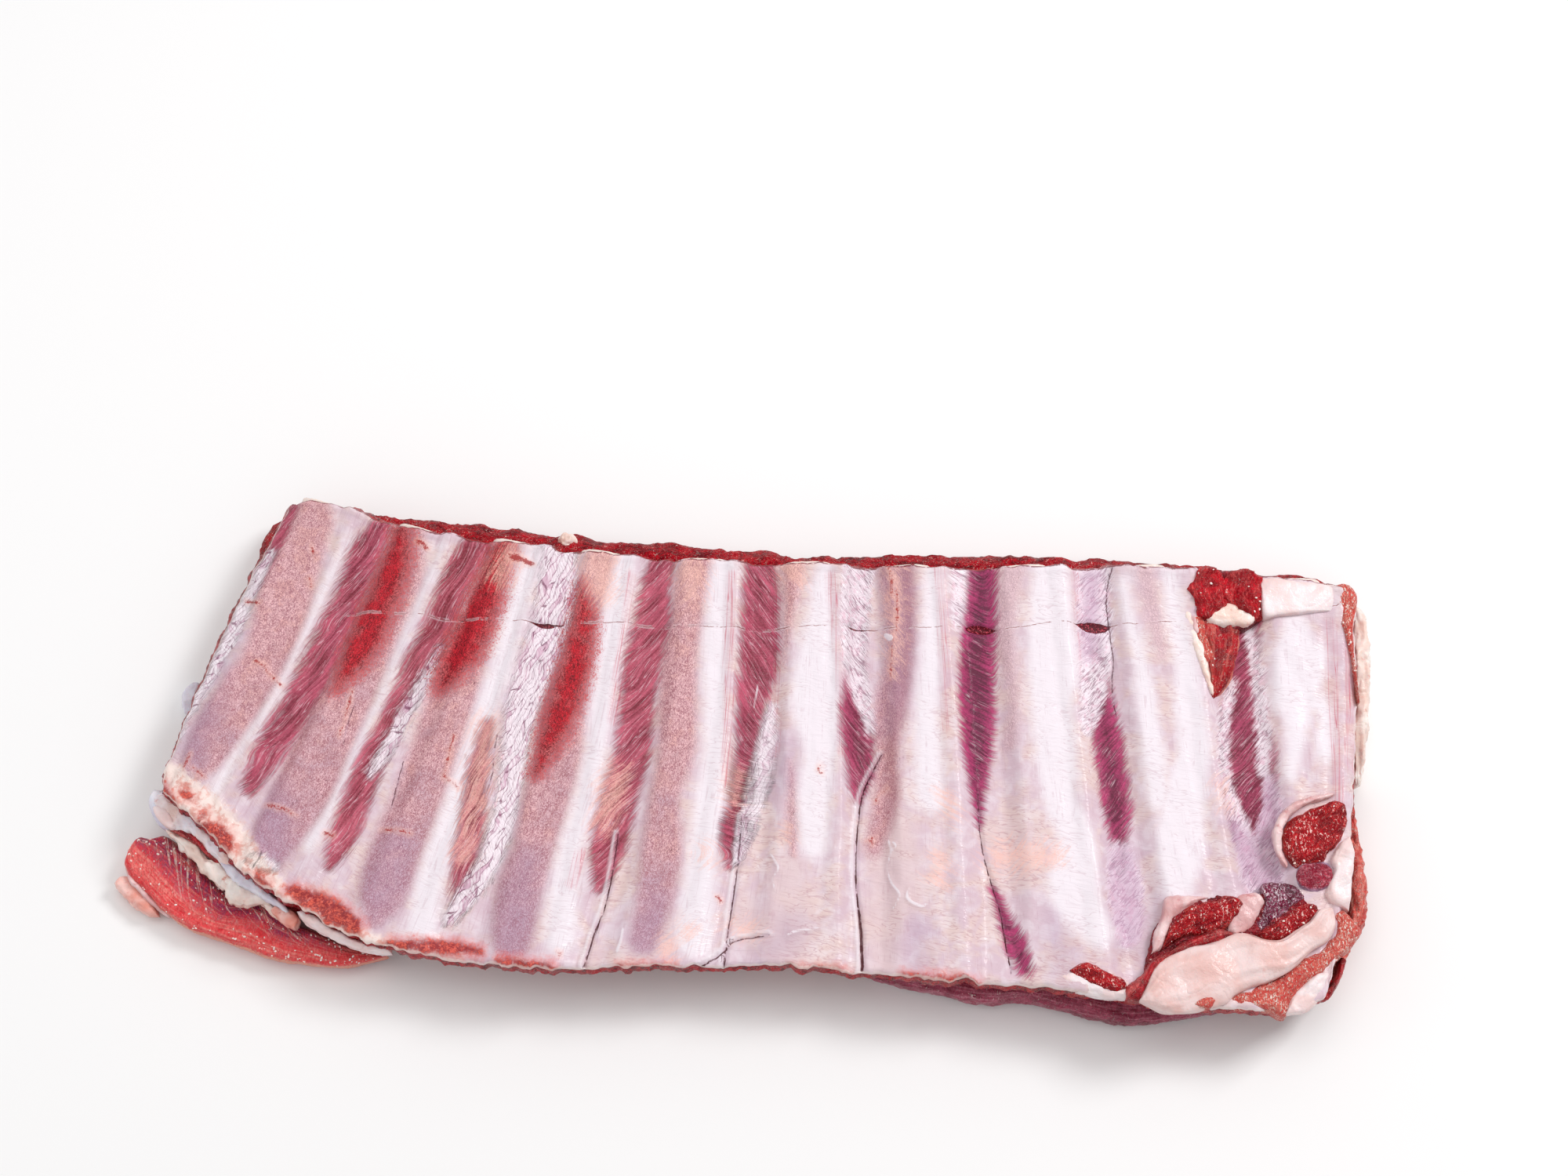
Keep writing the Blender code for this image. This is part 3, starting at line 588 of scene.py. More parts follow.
        (-98.1, -41.6, 3.4)], [(-59.9, -27.8, 3.4), (-61.9, -40.5, 6), (-63.1, -52, 4.3)],
        [(-25.3, -38.4, 3.4), (-27.9, -48.9, 5.1)], [(11, -46.8, 5.1), (5.9, -52, 4.3)], [(44.7, -46.8, 3.9),
        (45.3, -55.1, 4.7)], [(82.2, -42.6, 3.9), (82, -57.2, 5.1)], [(101.9, -40.5, 3.9),
        (100.2, -48.9, 4.3)], [(9, 2.7, 3), (9, -6.2, 2.6)], [(-143.8, 38.8, 3.9), (-147.8, 25.1, 3.4)],
        [(-65.3, 16, 2.1), (-66.3, 2.7, 2.1)], [(95.2, 52.8, 3), (93.7, 31.9, 3)], [(40.2, 55, 3.4),
        (40.6, 40, 4.4), (39.4, 24, 4.2), (37.8, 10, 2.6)], [(130.3, -19.2, 3.9), (136.8, -29.9, 6.3)],
        [(141, -6, 3), (139.6, -20, 5)], [(100.2, -26, 4.4), (100.1, -36.3, 5.6), (100.3, -48, 4.4)],
        [(109.6, -36, 4.6), (106, -44, 5), (104, -54, 3)],
    ],
    "warm": [
        [(-73, 10.4, 1.7), (-73.4, 0.4, 2.6), (-74.2, -10.5, 2.6)], [(-76.1, -14.9, 1.7),
        (-77.2, -25.7, 1.9)], [(-36.2, -2.9, 2.1), (-38.2, -9.4, 3), (-40.1, -17, 1.7)], [(-3.8, -2.9, 1.5),
        (-4.6, -10.5, 1.9)], [(-42.8, 55.6, 4.7), (-41.5, 48.1, 3)], [(-16.6, 54.6, 3.4), (-16.5, 48.1, 2.1)],
        [(11.2, 55.6, 2.6), (12.9, 52.3, 1.7)], [(50.4, -26.3, 0.9), (50.6, -32.3, 1.3), (48.8, -32.1, 0.6)],
        [(66.8, -25.7, 3.4), (80.4, -26.1, 2.6)], [(9.8, -19.6, 0.6), (10.2, -20.9, 0.4)],
        [(-5.6, -45.1, 0.9), (-1.4, -46, 1.5), (2.3, -46.8, 0.6)], [(-16.8, -46, 0.9), (-15.5, -47.2, 0.6)],
        [(-22.1, -48.9, 1.1), (-21.6, -54.1, 0.9)], [(-12.1, -24.6, 1.1), (-11, -27.8, 0.6)],
        [(40.2, 55.1, 0.9), (40, 38.8, 1.2), (39.3, 25.1, 0.4)], [(-70.2, 53.9, 2.6), (-67.2, 59.3, 1.7)],
        [(53.5, -9.4, 1.3), (54.6, -16, 0.9)], [(128, -6.2, 1.1), (128.9, -12.7, 0.9)],
    ],
    "vessel": [
        [(-152.6, 2.2, 0.1), (-153.5, -1.3, 0.3), (-154, -5.7, 0.1)], [(-153.6, -0.9, 0.1),
        (-150.4, -2.6, 0.1), (-148.1, -4.8, 0.1)], [(-131.3, -11.8, 0.1), (-128.3, -12.9, 0.4),
        (-125.3, -13.6, 0.3), (-122.2, -15.3, 0.1)], [(-114, -20.3, 0.4), (-112.5, -20.7, 0.4)],
        [(-99.5, -18.6, 0.1), (-96.1, -19.2, 0.2), (-91.4, -20.1, 0.1)], [(-83.4, -4, 0.2),
        (-81.2, -5.7, 0.1), (-78.6, -7.5, 0.1)], [(-81.1, 7.5, 0.1), (-82.1, 2.2, 0.1), (-83, -3.5, 0.1)],
        [(-109.7, 19.9, 0.1), (-110.8, 13.8, 0.1), (-112.3, 7.1, 0.1)], [(-137.2, 28.7, 0.1),
        (-134.5, 26.9, 0.2), (-132.6, 24.6, 0.1), (-129.3, 21.4, 0.1)], [(-9, -37.1, 0.2),
        (-7.7, -38.2, 0.2)], [(-50.7, -52, 0.2), (-49.8, -53.1, 0.2)], [(33.8, -10.5, 0.1), (34.9, -8.8, 0.1),
        (37, -7, 0.1)], [(18.8, -0.9, 0.1), (18.3, -2.6, 0.1), (19.4, -3.5, 0.1)], [(31.7, -21.4, 0.1),
        (32.8, -20.5, 0.1), (32.6, -22.4, 0.1)], [(-123.7, 62.2, 0.1), (-122.5, 58.4, 0.1)],
        [(-123.9, 53.2, 0.1), (-123, 50.4, 0.1)], [(-141.8, 46.9, 0.1), (-139.6, 46.2, 0.2),
        (-137.3, 45.3, 0.1)], [(-68, 59, 0.2), (-66.2, 58.3, 0.9), (-64.5, 57.6, 0.4), (-62.6, 57, 0.6),
        (-60.9, 55.8, 0.1)], [(20.4, 57.9, 0.3), (23.1, 57, 0.7), (24.8, 57, 0.3)], [(-93.7, 63.1, 0.3),
        (-92.3, 62.6, 0.4), (-91.3, 61.2, 0.3)], [(38.6, 55.4, 0.1), (38.9, 51, 0.2), (38.8, 46.8, 0)],
        [(40.4, 50, 0), (40.5, 44, 0.2), (40.1, 37, 0.1)], [(39.2, 36, 0), (38.7, 30, 0.2), (38.4, 23.4, 0)],
    ],
    "torn": [
        [(-157.6, -2.9, 2.1), (-150.5, -11, 4.3), (-141.9, -19.6, 5.1), (-134.1, -28.9, 3.9),
        (-126.6, -34.6, 2.6)], [(-122.1, -38.4, 1.7), (-113.8, -43, 3), (-103, -48.5, 2.1),
        (-92.5, -51.4, 1.1)],
    ],
    "marrow": [
        [(-66, -54.4, 0.2), (-60, -55.4, 0.6), (-52, -56, 0.3)], [(-34, -56.4, 0.2), (-27, -56.6, 0.5),
        (-20, -56.8, 0.2)], [(12, -56.8, 0.2), (20, -57.4, 0.5), (26, -57.8, 0.2)], [(40, -58.8, 0.2),
        (52, -59.6, 0.5), (60, -60.4, 0.2)], [(-145.5, -18.8, 1.1), (-142, -20.9, 2.1), (-139.8, -23.9, 1.1)],
        [(-159.9, -6.2, 0.4), (-158.4, -8.3, 0.6), (-156, -11, 0.4)], [(-152.8, -9.2, 0.6),
        (-150.9, -11, 0.6)], [(-147.1, -15.7, 0.6), (-148.2, -17, 0.4)], [(-121.9, -35.9, 1.1),
        (-116.2, -38.4, 2.4), (-109.7, -41.8, 2.6), (-103.7, -45.6, 1.3)], [(-95.1, -50.1, 0.6),
        (-86.3, -50.8, 1.3), (-75.9, -51.2, 1.3), (-71.3, -52, 0.6)], [(-131.4, -32.1, 0.4),
        (-128.7, -34.2, 0.6)],
    ],
    "thread": [
        [(37.2, 36.2, 0.5), (38.3, 35.2, 0.8)], [(37, -21.4, 0.1), (37.6, -24.8, 0.2), (36.7, -28.6, 0.1),
        (37.8, -33.8, 0.2), (39.7, -36.7, 0.2), (37.9, -40.5, 0.1)], [(5.4, -25.4, 0.1), (6.4, -27.4, 0.2),
        (7.5, -29.5, 0.2), (6, -32.5, 0.1), (6.5, -35.4, 0.1)], [(42.2, -35, 0.1), (41.7, -37.8, 0.3),
        (43.6, -39.3, 0.3), (46.1, -39.9, 0.3), (47.3, -39, 0.1)], [(9.4, -48.1, 0.1), (11.9, -46.8, 0.3),
        (14.8, -46.4, 0.2), (18.7, -45.6, 0.1)], [(38.4, -24.6, 0.1), (38.9, -23.1, 0.2), (38, -22.2, 0.1)],
        [(-33.6, -45.8, 0.2), (-34, -48.9, 0.3), (-34.9, -52, 0.3)], [(0.8, 16, 0.1), (1.4, 20.5, 0.2),
        (2, 23.3, 0.1)],
    ],
    "vein": [
        [(6.5, 57.5, 0.3), (6.6, 38.8, 0.3), (6.4, 20.5, 0.3), (6.4, 2.7, 0.2)], [(-5.6, 52.8, 0.4),
        (-6.1, 41.1, 0.4), (-6.2, 27.3, 0.3), (-6.1, 16, 0.3), (-6.3, -6.2, 0.2)], [(22.2, 52.8, 0.6),
        (23.4, 38.8, 0.4), (24.9, 20.5, 0.3), (25.2, 2.7, 0.2)], [(52.3, 55.6, 0.4), (53.3, 38.8, 0.4),
        (53.3, 25.1, 0.4), (53.4, 9.3, 0.2)], [(91, 53.9, 0.3), (91.4, 38.8, 0.4), (92.1, 25.1, 0.3)],
        [(160.8, 38.8, 0.5), (160.1, 20.5, 0.6), (159.8, 2.7, 0.6), (158.9, -12.7, 0.2)], [(166, 38.8, 0.4),
        (164.5, 16, 0.6), (163.3, -1.8, 0.3)], [(-33.7, 52.8, 0.3), (-34.7, 38.8, 0.3), (-36.5, 25.1, 0.3),
        (-37.7, 11.6, 0.2)], [(-45.3, -25.7, 0.2), (-47.5, -34.2, 0.2)],
    ],
}


def fanPoint(u, v):
    # a point of the fan: each guide is straight but for a bow of 4v(1-v), and u runs between guides
    # by cubic curves
    table = np.array(lining["guides"], float)
    farX, farY, nearX, nearY, bow = np.moveaxis(cubicAt(table[:, 0], table[:, 1:], np.asarray(u, float)), -1,
                                                0)
    return farX + (nearX - farX) * v + bow * 4 * v * (1 - v), farY + (nearY - farY) * v


def archOf(v):
    return lining["arch"] * (2 * v - 1) ** 2


def edgeSteps(count, rim):
    # 0 to 1 with a few close steps in the first and last part of the way
    close = np.array([0, 0.12, 0.3, 0.55, 1.0]) * rim
    return np.concatenate([close, np.linspace(rim, 1 - rim, count - 8)[1:-1], 1 - close[::-1]])


def liningTop():
    # z over a grid of (v, u): a rib's plateau or a valley by the distance to the rib's guide, plus folds,
    # slits and wrinkles, less a round fall within a few mm of the edge
    start, stop, length = lining["left"], lining["right"], lining["length"]
    across = np.linspace(start, stop, lining["acrossCells"] + 1)
    v, u = np.meshgrid(edgeSteps(lining["alongCells"] + 1, 0.016), across, indexing="ij")
    x, y = fanPoint(u, v)
    before, after = np.clip(u - 0.1, start, stop), np.clip(u + 0.1, start, stop)
    left, right = fanPoint(before, v), fanPoint(after, v)
    pitch = np.hypot(right[0] - left[0], right[1] - left[1]) / (after - before)
    along = v * length
    part = u - np.clip(np.floor(u + 0.45), 0, 9)
    rib = np.clip(np.floor(u + 0.05), -1, 9)
    dark, lean, bend = (np.array(lining[key])[rib.astype(int)] for key in ("dark", "lean", "bend"))
    edge = np.minimum(np.minimum(v, 1 - v) * length, np.minimum(u - start, stop - u) * pitch)
    place = flat(x, y)
    marks = {key: strokes(x, y, many) for key, many in liningMarks.items()}

    # rib plateau: rises left of the guide, falls right of its white shoulder
    fade = 1 - 0.35 * step(0.72, 1.0, v)
    plateau = step(-0.33, -0.14, part) * (1 - step(0.32, 0.51, part)) * fade
    shoulder = bell(part - 0.31, 0.08) * (1 - step(0.8, 1.0, v))
    groove = bell(part - 0.2, 0.05) * 0.3 * fade
    z = lining["valleyTop"] + archOf(v) + lining["ribRise"] * plateau + 0.6 * shoulder - groove
    meaty = step(-1.5, 1.5, marks["muscle"])
    z -= 0.5 * meaty
    z += lining["undulation"] * noise(flat(x, y * 0.6), 16, 2)
    z += 0.2 * noise(flat(30 * u, along * 0.35), 3.2, 2)
    # strands of the valley meat lean from the rib's line by 1 in lean
    middle = (u - rib - 0.68) * pitch + 1.6 * noise(flat(0.3 * x, y, rib * 5.0), 14, 2)
    bent = (1 - 0.65 * bend) * middle + 0.65 * bend * np.sqrt(middle ** 2 + 0.8)
    along = along + 0.45 * noise(flat(x, y, 3.0), 6.0, 2)
    lean = np.where((lean < 0) & (rib == 4), lean + 2.6 * step(0.45, 0.75, v), lean)  # the fifth turns back
    scale = np.sqrt(1 + lean ** 2)
    fibreA = (along + lean * bent) / scale
    fibreL = (bent - lean * along) / scale
    strand = noise(flat(fibreA, fibreL * 0.14, rib * 3.1), 1.2, 2)
    z += lining["strand"] * strand * meaty * (1 - 0.6 * bend)
    # wrinkled silver skin: sharp folds where a stretched noise crosses zero
    silvery = step(-1.2, 1.0, marks["silver"])
    folded = noise(flat(fibreA * 0.8, fibreL * 0.3, rib), 3.6, 2)
    crossed = noise(flat(fibreA * 0.4 + 9, fibreL * 0.5, rib), 3.6, 2)
    folds = 1 - np.minimum(1, np.minimum(np.abs(folded) * 4, np.abs(crossed) * 5))
    plated = 1 - step(4.2, 5.2, u)
    z += lining["wrinkle"] * (folds - 0.4) * silvery * (0.1 + 0.45 * plated)
    z += lining["grain"] * noise(place, 0.9, 2)
    # slits, the long ones with one raised lip, then the score line, threads of fat and torn tissue
    z -= lining["slitDepth"] * step(-0.35, 0.4, marks["slit"])
    lip = np.zeros(x.shape)
    for rows in liningMarks["slit"][:4]:
        inside, side = strokeField(x, y, rows, 3.0)
        lip = np.maximum(lip, bell(side + 1.1, 0.5) * step(-1.9, -0.8, inside))
    z += 0.6 * lip
    z -= lining["scoreDepth"] * step(-0.3, 0.7, marks["score"])
    z += 0.45 * step(-0.6, 0.2, marks["thread"]) + 0.2 * step(-0.7, 0.3, marks["vessel"])
    ragged = step(-2.5, 0, np.maximum(marks["torn"], marks["marrow"]))
    z += ragged * (0.3 + 0.8 * noise(place, 3.2, 3))
    # the rim: a thin lip, then a round fall, ragged in plan
    z += 0.35 * bell(edge - 1.7, 0.8)
    fall = 1 - np.clip(edge / lining["edgeRound"], 0, 1)
    z -= lining["edgeRound"] * (1 - np.sqrt(np.maximum(0, 1 - fall ** 2)))
    loose = bell(edge, 2.5) * lining["rag"] * (1 + 1.2 * ragged)
    x = x + loose * noise(flat(x, y, 5.0), 4.5, 3)
    y = y + loose * noise(flat(x, y, 9.0), 4.5, 3)

    fields = {key: np.clip(value, -6, 6) for key, value in marks.items()}
    fields["fasciaAndHighlight"] = fields["fasciaAndHighlight"] - 1.5 * (1 - step(0.5, 2.6, u))
    fields.update({
        "lip": lip, "edge": edge, "dark": dark, "plated": plated, "low": v, "far": np.clip(v * length, 0, 6),
        "greyer": step(6.4, 6.9, u) - bell(u - 6.05, 0.3),
        "slitSide": strokeSides(x, y, liningMarks["slit"]),
        "scoreSide": strokeSides(x, y, liningMarks["score"]),
    })
    maps = {"ribMap": flat(30 * u, along)[..., :2], "fibreMap": flat(fibreA, fibreL)[..., :2]}
    return flat(x, y, z), fields, maps


def outwardOf(loop):
    # unit vectors that point out of a closed plan loop, from differences across a few neighbours
    ahead = np.roll(loop, -6, axis=0) - np.roll(loop, 6, axis=0)
    normal = np.stack([ahead[:, 1], -ahead[:, 0]], -1)
    normal /= np.linalg.norm(normal, axis=1)[:, None] + 1e-9
    area = np.sum(loop[:, 0] * np.roll(loop[:, 1], -1) - np.roll(loop[:, 0], -1) * loop[:, 1])
    return normal * (1.0 if area > 0 else -1.0)


def makeLining(material):
    # the top grid, a wall of rows that share its boundary loop, and a fan below
    top, fields, maps = liningTop()
    rows, columns = top.shape[:2]
    index = np.arange(rows * columns).reshape(rows, columns)
    rim = np.concatenate([index[0, :-1], index[:-1, -1], index[-1, :0:-1], index[:0:-1, 0]])
    flatTop = top.reshape(-1, 3)
    loop = flatTop[rim]
    outward = outwardOf(loop[:, :2])
    # how far the wall leans out at its foot: more at the far and left edges, inward under the near edge
    lean = 3.6 * step(0.1, 0.9, outward[:, 1]) + 2.0 * step(0.3, 0.9, -outward[:, 0])
    lean -= 1.6 * step(0.3, 0.9, -outward[:, 1])
    foot = layerBottom - lining["floor"]
    depths = np.linspace(0, 1, lining["wallRows"] + 1)[1:]
    wall = []
    for depth in depths:
        z = loop[:, 2] + (foot - loop[:, 2]) * depth
        rough = 0.7 * noise(flat(loop[:, 0], loop[:, 1], z * 1.4), 3.0,
                            3) * math.sin(math.pi * min(depth * 1.2, 1))
        out = lean * depth ** 1.4 + 0.7 * math.sin(math.pi * depth) + rough - 0.35 * bell(depth - 0.12, 0.1)
        wall.append(np.column_stack([loop[:, :2] + outward * out[:, None], z]))
    wall = np.concatenate(wall)
    points = np.concatenate([flatTop, wall, [[loop[:, 0].mean(), loop[:, 1].mean(), foot]]])
    count = len(rim)
    base = rows * columns
    first = base + np.arange(count)
    join = np.stack([rim, np.roll(rim, -1), np.roll(first, -1), first], -1)
    last = first + (len(depths) - 1) * count
    faces = [gridFaces(rows, columns), join, gridFaces(len(depths), count, True, base),
             fanFaces(last, len(points) - 1)]
    for key in fields:
        values = fields[key].reshape(-1)
        fields[key] = np.concatenate([values, np.tile(values[rim], len(depths)), [0.0]])
    fields["wall"] = np.concatenate([np.zeros(base), np.repeat(depths, count), [1.0]])
    side = np.column_stack([np.tile(lengthAlong(loop[:, :2]), len(depths)), wall[:, 2]])
    maps = {key: np.concatenate([value.reshape(-1, 2), side, [[0, 0]]]) for key, value in maps.items()}
    makePiece("lining", points, faces, material, "rib_layer", fields, maps)


liningColours = {
    "pearl": (216, 190, 201), "cream": (228, 202, 198), "beige": (224, 198, 200), "white": (241, 231, 238),
    "faceLight": (238, 188, 192), "faceDark": (166, 100, 112), "faceWarm": (228, 164, 154),
    "faceCool": (188, 154, 176), "faceGrey": (222, 198, 208), "faceBrown": (160, 96, 108),
    "fleck": (84, 20, 34),
    "lilac": (164, 136, 170), "pinkVein": (206, 96, 116), "meatLight": (208, 106, 118),
    "meatDark": (126, 8, 30),
    "deepLight": (206, 62, 124), "deepDark": (94, 0, 50), "sheathAndGlint": (240, 206, 216), "skin": (251, 238, 246),
    "skinShade": (242, 210, 224), "lilacSkin": (194, 150, 182), "crease": (118, 50, 88),
    "plateDark": (222, 184, 204), "wrinkle": (176, 120, 136), "blood": (208, 0, 34),
    "bloodDark": (100, 0, 12),
    "bloodLight": (204, 92, 96), "warm": (250, 196, 182), "vessel": (164, 8, 10), "slit": (84, 22, 30),
    "slitEdge": (150, 84, 80), "gape": (86, 0, 18), "gapeLight": (222, 84, 100), "rimShade": (116, 22, 32),
    "raw": (182, 16, 32), "rawDark": (84, 0, 14), "fat": (250, 230, 222), "tornShade": (232, 186, 174),
    "marrow": (140, 4, 22), "marrowLight": (222, 92, 74),
}
liningFields = ["lip", "edge", "dark", "wall", "plated", "greyer", "far", "low", "slitSide", "scoreSide"]


def makeLiningMaterial():
    tone = tonesOf(liningColours)
    material, tree, shader = newMaterial("liningSkin", 0.28, 0.08, 0.0, 0.1)
    ribMap, fibreMap = mapNode(tree, "ribMap"), mapNode(tree, "fibreMap")
    place = inMillimetres(tree)
    mark = {key: fieldNode(tree, key) for key in [*liningMarks, *liningFields]}
    soft = noiseNode(place, 0.09, 3, 0.6, 0.5)
    softFine = noiseNode(place, 0.5, 3, 0.6, 0.3)
    gritty = noiseNode(place, 1.7, 2, 0.7, 0.2)
    patchy = noiseNode(place, 0.22, 2, 0.5, 0.6)
    grain = useGroup(wetGrain, ribMap, size=0.36, flecks=0.45)
    strand = useGroup(meatFibre, fibreMap, width=0.5, length=11.0, contrast=1.5)
    across = useGroup(skinWrinkle, turned(ribMap, -8), spacing=0.8, length=3.2)
    down = useGroup(skinWrinkle, turned(ribMap, 90), spacing=1.0, length=22.0)
    ducts = useGroup(skinWrinkle, turned(ribMap, 90), spacing=0.5, length=34.0)
    lines = useGroup(skinWrinkle, turned(fibreMap, 90), spacing=0.62, length=4.5)
    plates = useGroup(skinPlates, turned(ribMap, 74), width=1.3, length=13.0)
    facets = useGroup(skinPlates, turned(ribMap, 116), width=0.9, length=7.0)
    crackle = useGroup(skinPlates, ribMap, width=0.6, length=1.8)
    specks = useGroup(fatSpecks, place, size=1.0, amount=0.2)

    def between(low, high, value):
        return blend(value, tone[low], tone[high])

    def cutLine(key, low, high):
        # a thin line where the signed distance across the cut is near zero
        off = abs(shaken(mark[key + "Side"], (softFine, 0.9)))
        return ramp(off, high, low) * ramp(mark[key], -0.7, -0.4)

    # the bone's face shows through as grain, cooler low down, greyer to the right and brown on the seventh
    faceMask = ramp(shaken(mark["face"], (softFine, 2.0), (gritty, 1.6)), -1.6, 2.8)
    faceTone = painted(tone, tone["faceLight"],
                       (ramp(patchy, 0.46, 0.66), "faceWarm", 0.55),
                       (ramp(shaken(mark["low"], (soft, 1.6)), 0.36, 1.1), "faceCool", 0.75))
    faceTone = painted(tone, blend(grain["Grain"], tone["faceDark"], faceTone),
                       (ramp(mark["greyer"], 0.0, 1.0), "faceGrey", 0.6),
                       (ramp(mark["greyer"], 0.0, -1.0), "faceBrown", 0.8))
    pale = 1.0 - faceMask
    # the white shoulders of the ribs: partly pale fascia, partly painted highlight
    fasciaAndHighlight = ramp(shaken(mark["fasciaAndHighlight"], (across["Height"], -1.2), (softFine, 1.6)), -2.0, 2.6)
    lengthwise = down["Lines"] * pale * ramp(softFine + mark["plated"] * 0.1, 0.42, 0.66)
    ductLines = ducts["Lines"] * ramp(shaken(mark["vein"], (softFine, 1.2)), -2.0, -0.2)
    # meat between the ribs, deeper in its middle, with thin pale lines along its strands: partly sheaths,
    # partly painted glints
    meatMask = ramp(shaken(mark["muscle"], (strand["Streak"], 1.3), (softFine, 1.4)), -1.7, 1.1)
    depth = ramp(shaken(mark["muscle"], (patchy, 5.0)), -0.5, 4.2)
    folds = ramp(noiseNode(stretched(fibreMap, (0.3, 0.06, 1)), 1.0, 2, 0.5, 0.5), 0.36, 0.64, -0.36, 0.26)
    mottle = strand["Streak"] * 0.45 + ramp(gritty, 0.36, 0.64) * 0.24
    strandTone = mottle + 0.26 + folds * (1.0 - mark["dark"])
    strandTone = calc("SUBTRACT", strandTone, depth * mark["dark"] * 0.56, clamp=True)
    darkest, lightest = between("meatDark", "deepDark", mark["dark"]), between("meatLight", "deepLight",
                                                                               mark["dark"])
    sheathAndGlint = strand["Sheath"] * ramp(shaken(patchy, (mark["dark"], -0.3)), 0.3, 0.56)
    meat = painted(tone, blend(strandTone, darkest, lightest), (sheathAndGlint, "sheathAndGlint", 0.45))
    # silver skin: pale plates painted lighter or darker as if tilted to the light, thin dark creases between
    # them painted as shade, and fine wrinkles to the right
    silverMask = ramp(shaken(mark["silver"], (strand["Streak"], 1.2), (softFine, 2.0)), -1.3, 0.9)
    sheen = plates["Tone"] * 0.62 + facets["Tone"] * 0.38
    plated = painted(tone, between("plateDark", "skin", ramp(sheen, 0.16, 0.44)),
                     (facets["Lines"] * ramp(softFine, 0.42, 0.56), "crease", 0.45),
                     (plates["Lines"] * ramp(softFine, 0.34, 0.54), "crease", 0.8))
    # the wrinkle and crackle lines are painted shade in the folds of the skin
    skin = painted(tone, between("skinShade", "skin", ramp(softFine, 0.36, 0.5)),
                   (ramp(lines["Height"] + (0.5 - patchy) * 0.12, 0.04, 0.008), "crease", 0.56),
                   (crackle["Lines"] * ramp(softFine, 0.46, 0.58), "crease", 0.35),
                   (ramp(shaken(mark["lilac"], (softFine, 5.0)), -3.0, 3.5), "lilacSkin", 0.62))
    # blood under the lining, its rim broken into grains, and warm streaks
    bloodMask = ramp(shaken(mark["blood"], (grain["Grain"], 3.6), (gritty, 5.0), (softFine, 4.0)), -1.6, 0.8)
    bloodTone = between("bloodLight", "blood", ramp(shaken(mark["blood"], (patchy, 8.0)), 0.5, 4.0))
    warmMask = ramp(shaken(mark["warm"], (softFine, 5.0), (gritty, 3.0), (strand["Streak"], 4.5)), -3.0, 2.5)
    # torn white tissue and marrow along the near left edge
    torn = between("fat", "tornShade", ramp(shaken(patchy, (softFine, 1.0)), 0.48, 0.66))
    marrowIn = shaken(mark["marrow"], (softFine, 4.0), (gritty, 1.6))
    marrowTone = between("marrow", "marrowLight", ramp(shaken(gritty, (softFine, 0.8)), 0.4, 0.74))
    # cuts: the score line gapes over the meat and is a faint brown line elsewhere
    broken = ramp(shaken(patchy, (softFine, 0.8)), 0.42, 0.54)
    gapeIn = shaken(mark["score"], (softFine, 0.5))
    gape = painted(tone, tone["gape"],
                   (ramp(gritty, 0.54, 0.62), "gapeLight", 0.7),
                   (ramp(gapeIn, 0.45, 0.15), "slit", 0.7))
    # a thin pale lip along the rim, painted shade at the far edge, and raw meat with fat below it
    rimMask = ramp(shaken(mark["edge"], (softFine, 1.2)), 0.7, 0.2)
    farShadeLine = ramp(shaken(mark["far"], (softFine, 1.2), (patchy, 1.0)), 0.95, 0.6)
    raw = between("rawDark", "raw", ramp(noiseNode(place, 0.55, 4, 0.7, 1.0), 0.34, 0.6))
    wallMask = ramp(shaken(mark["wall"], (softFine, 0.12)), 0.04, 0.1)

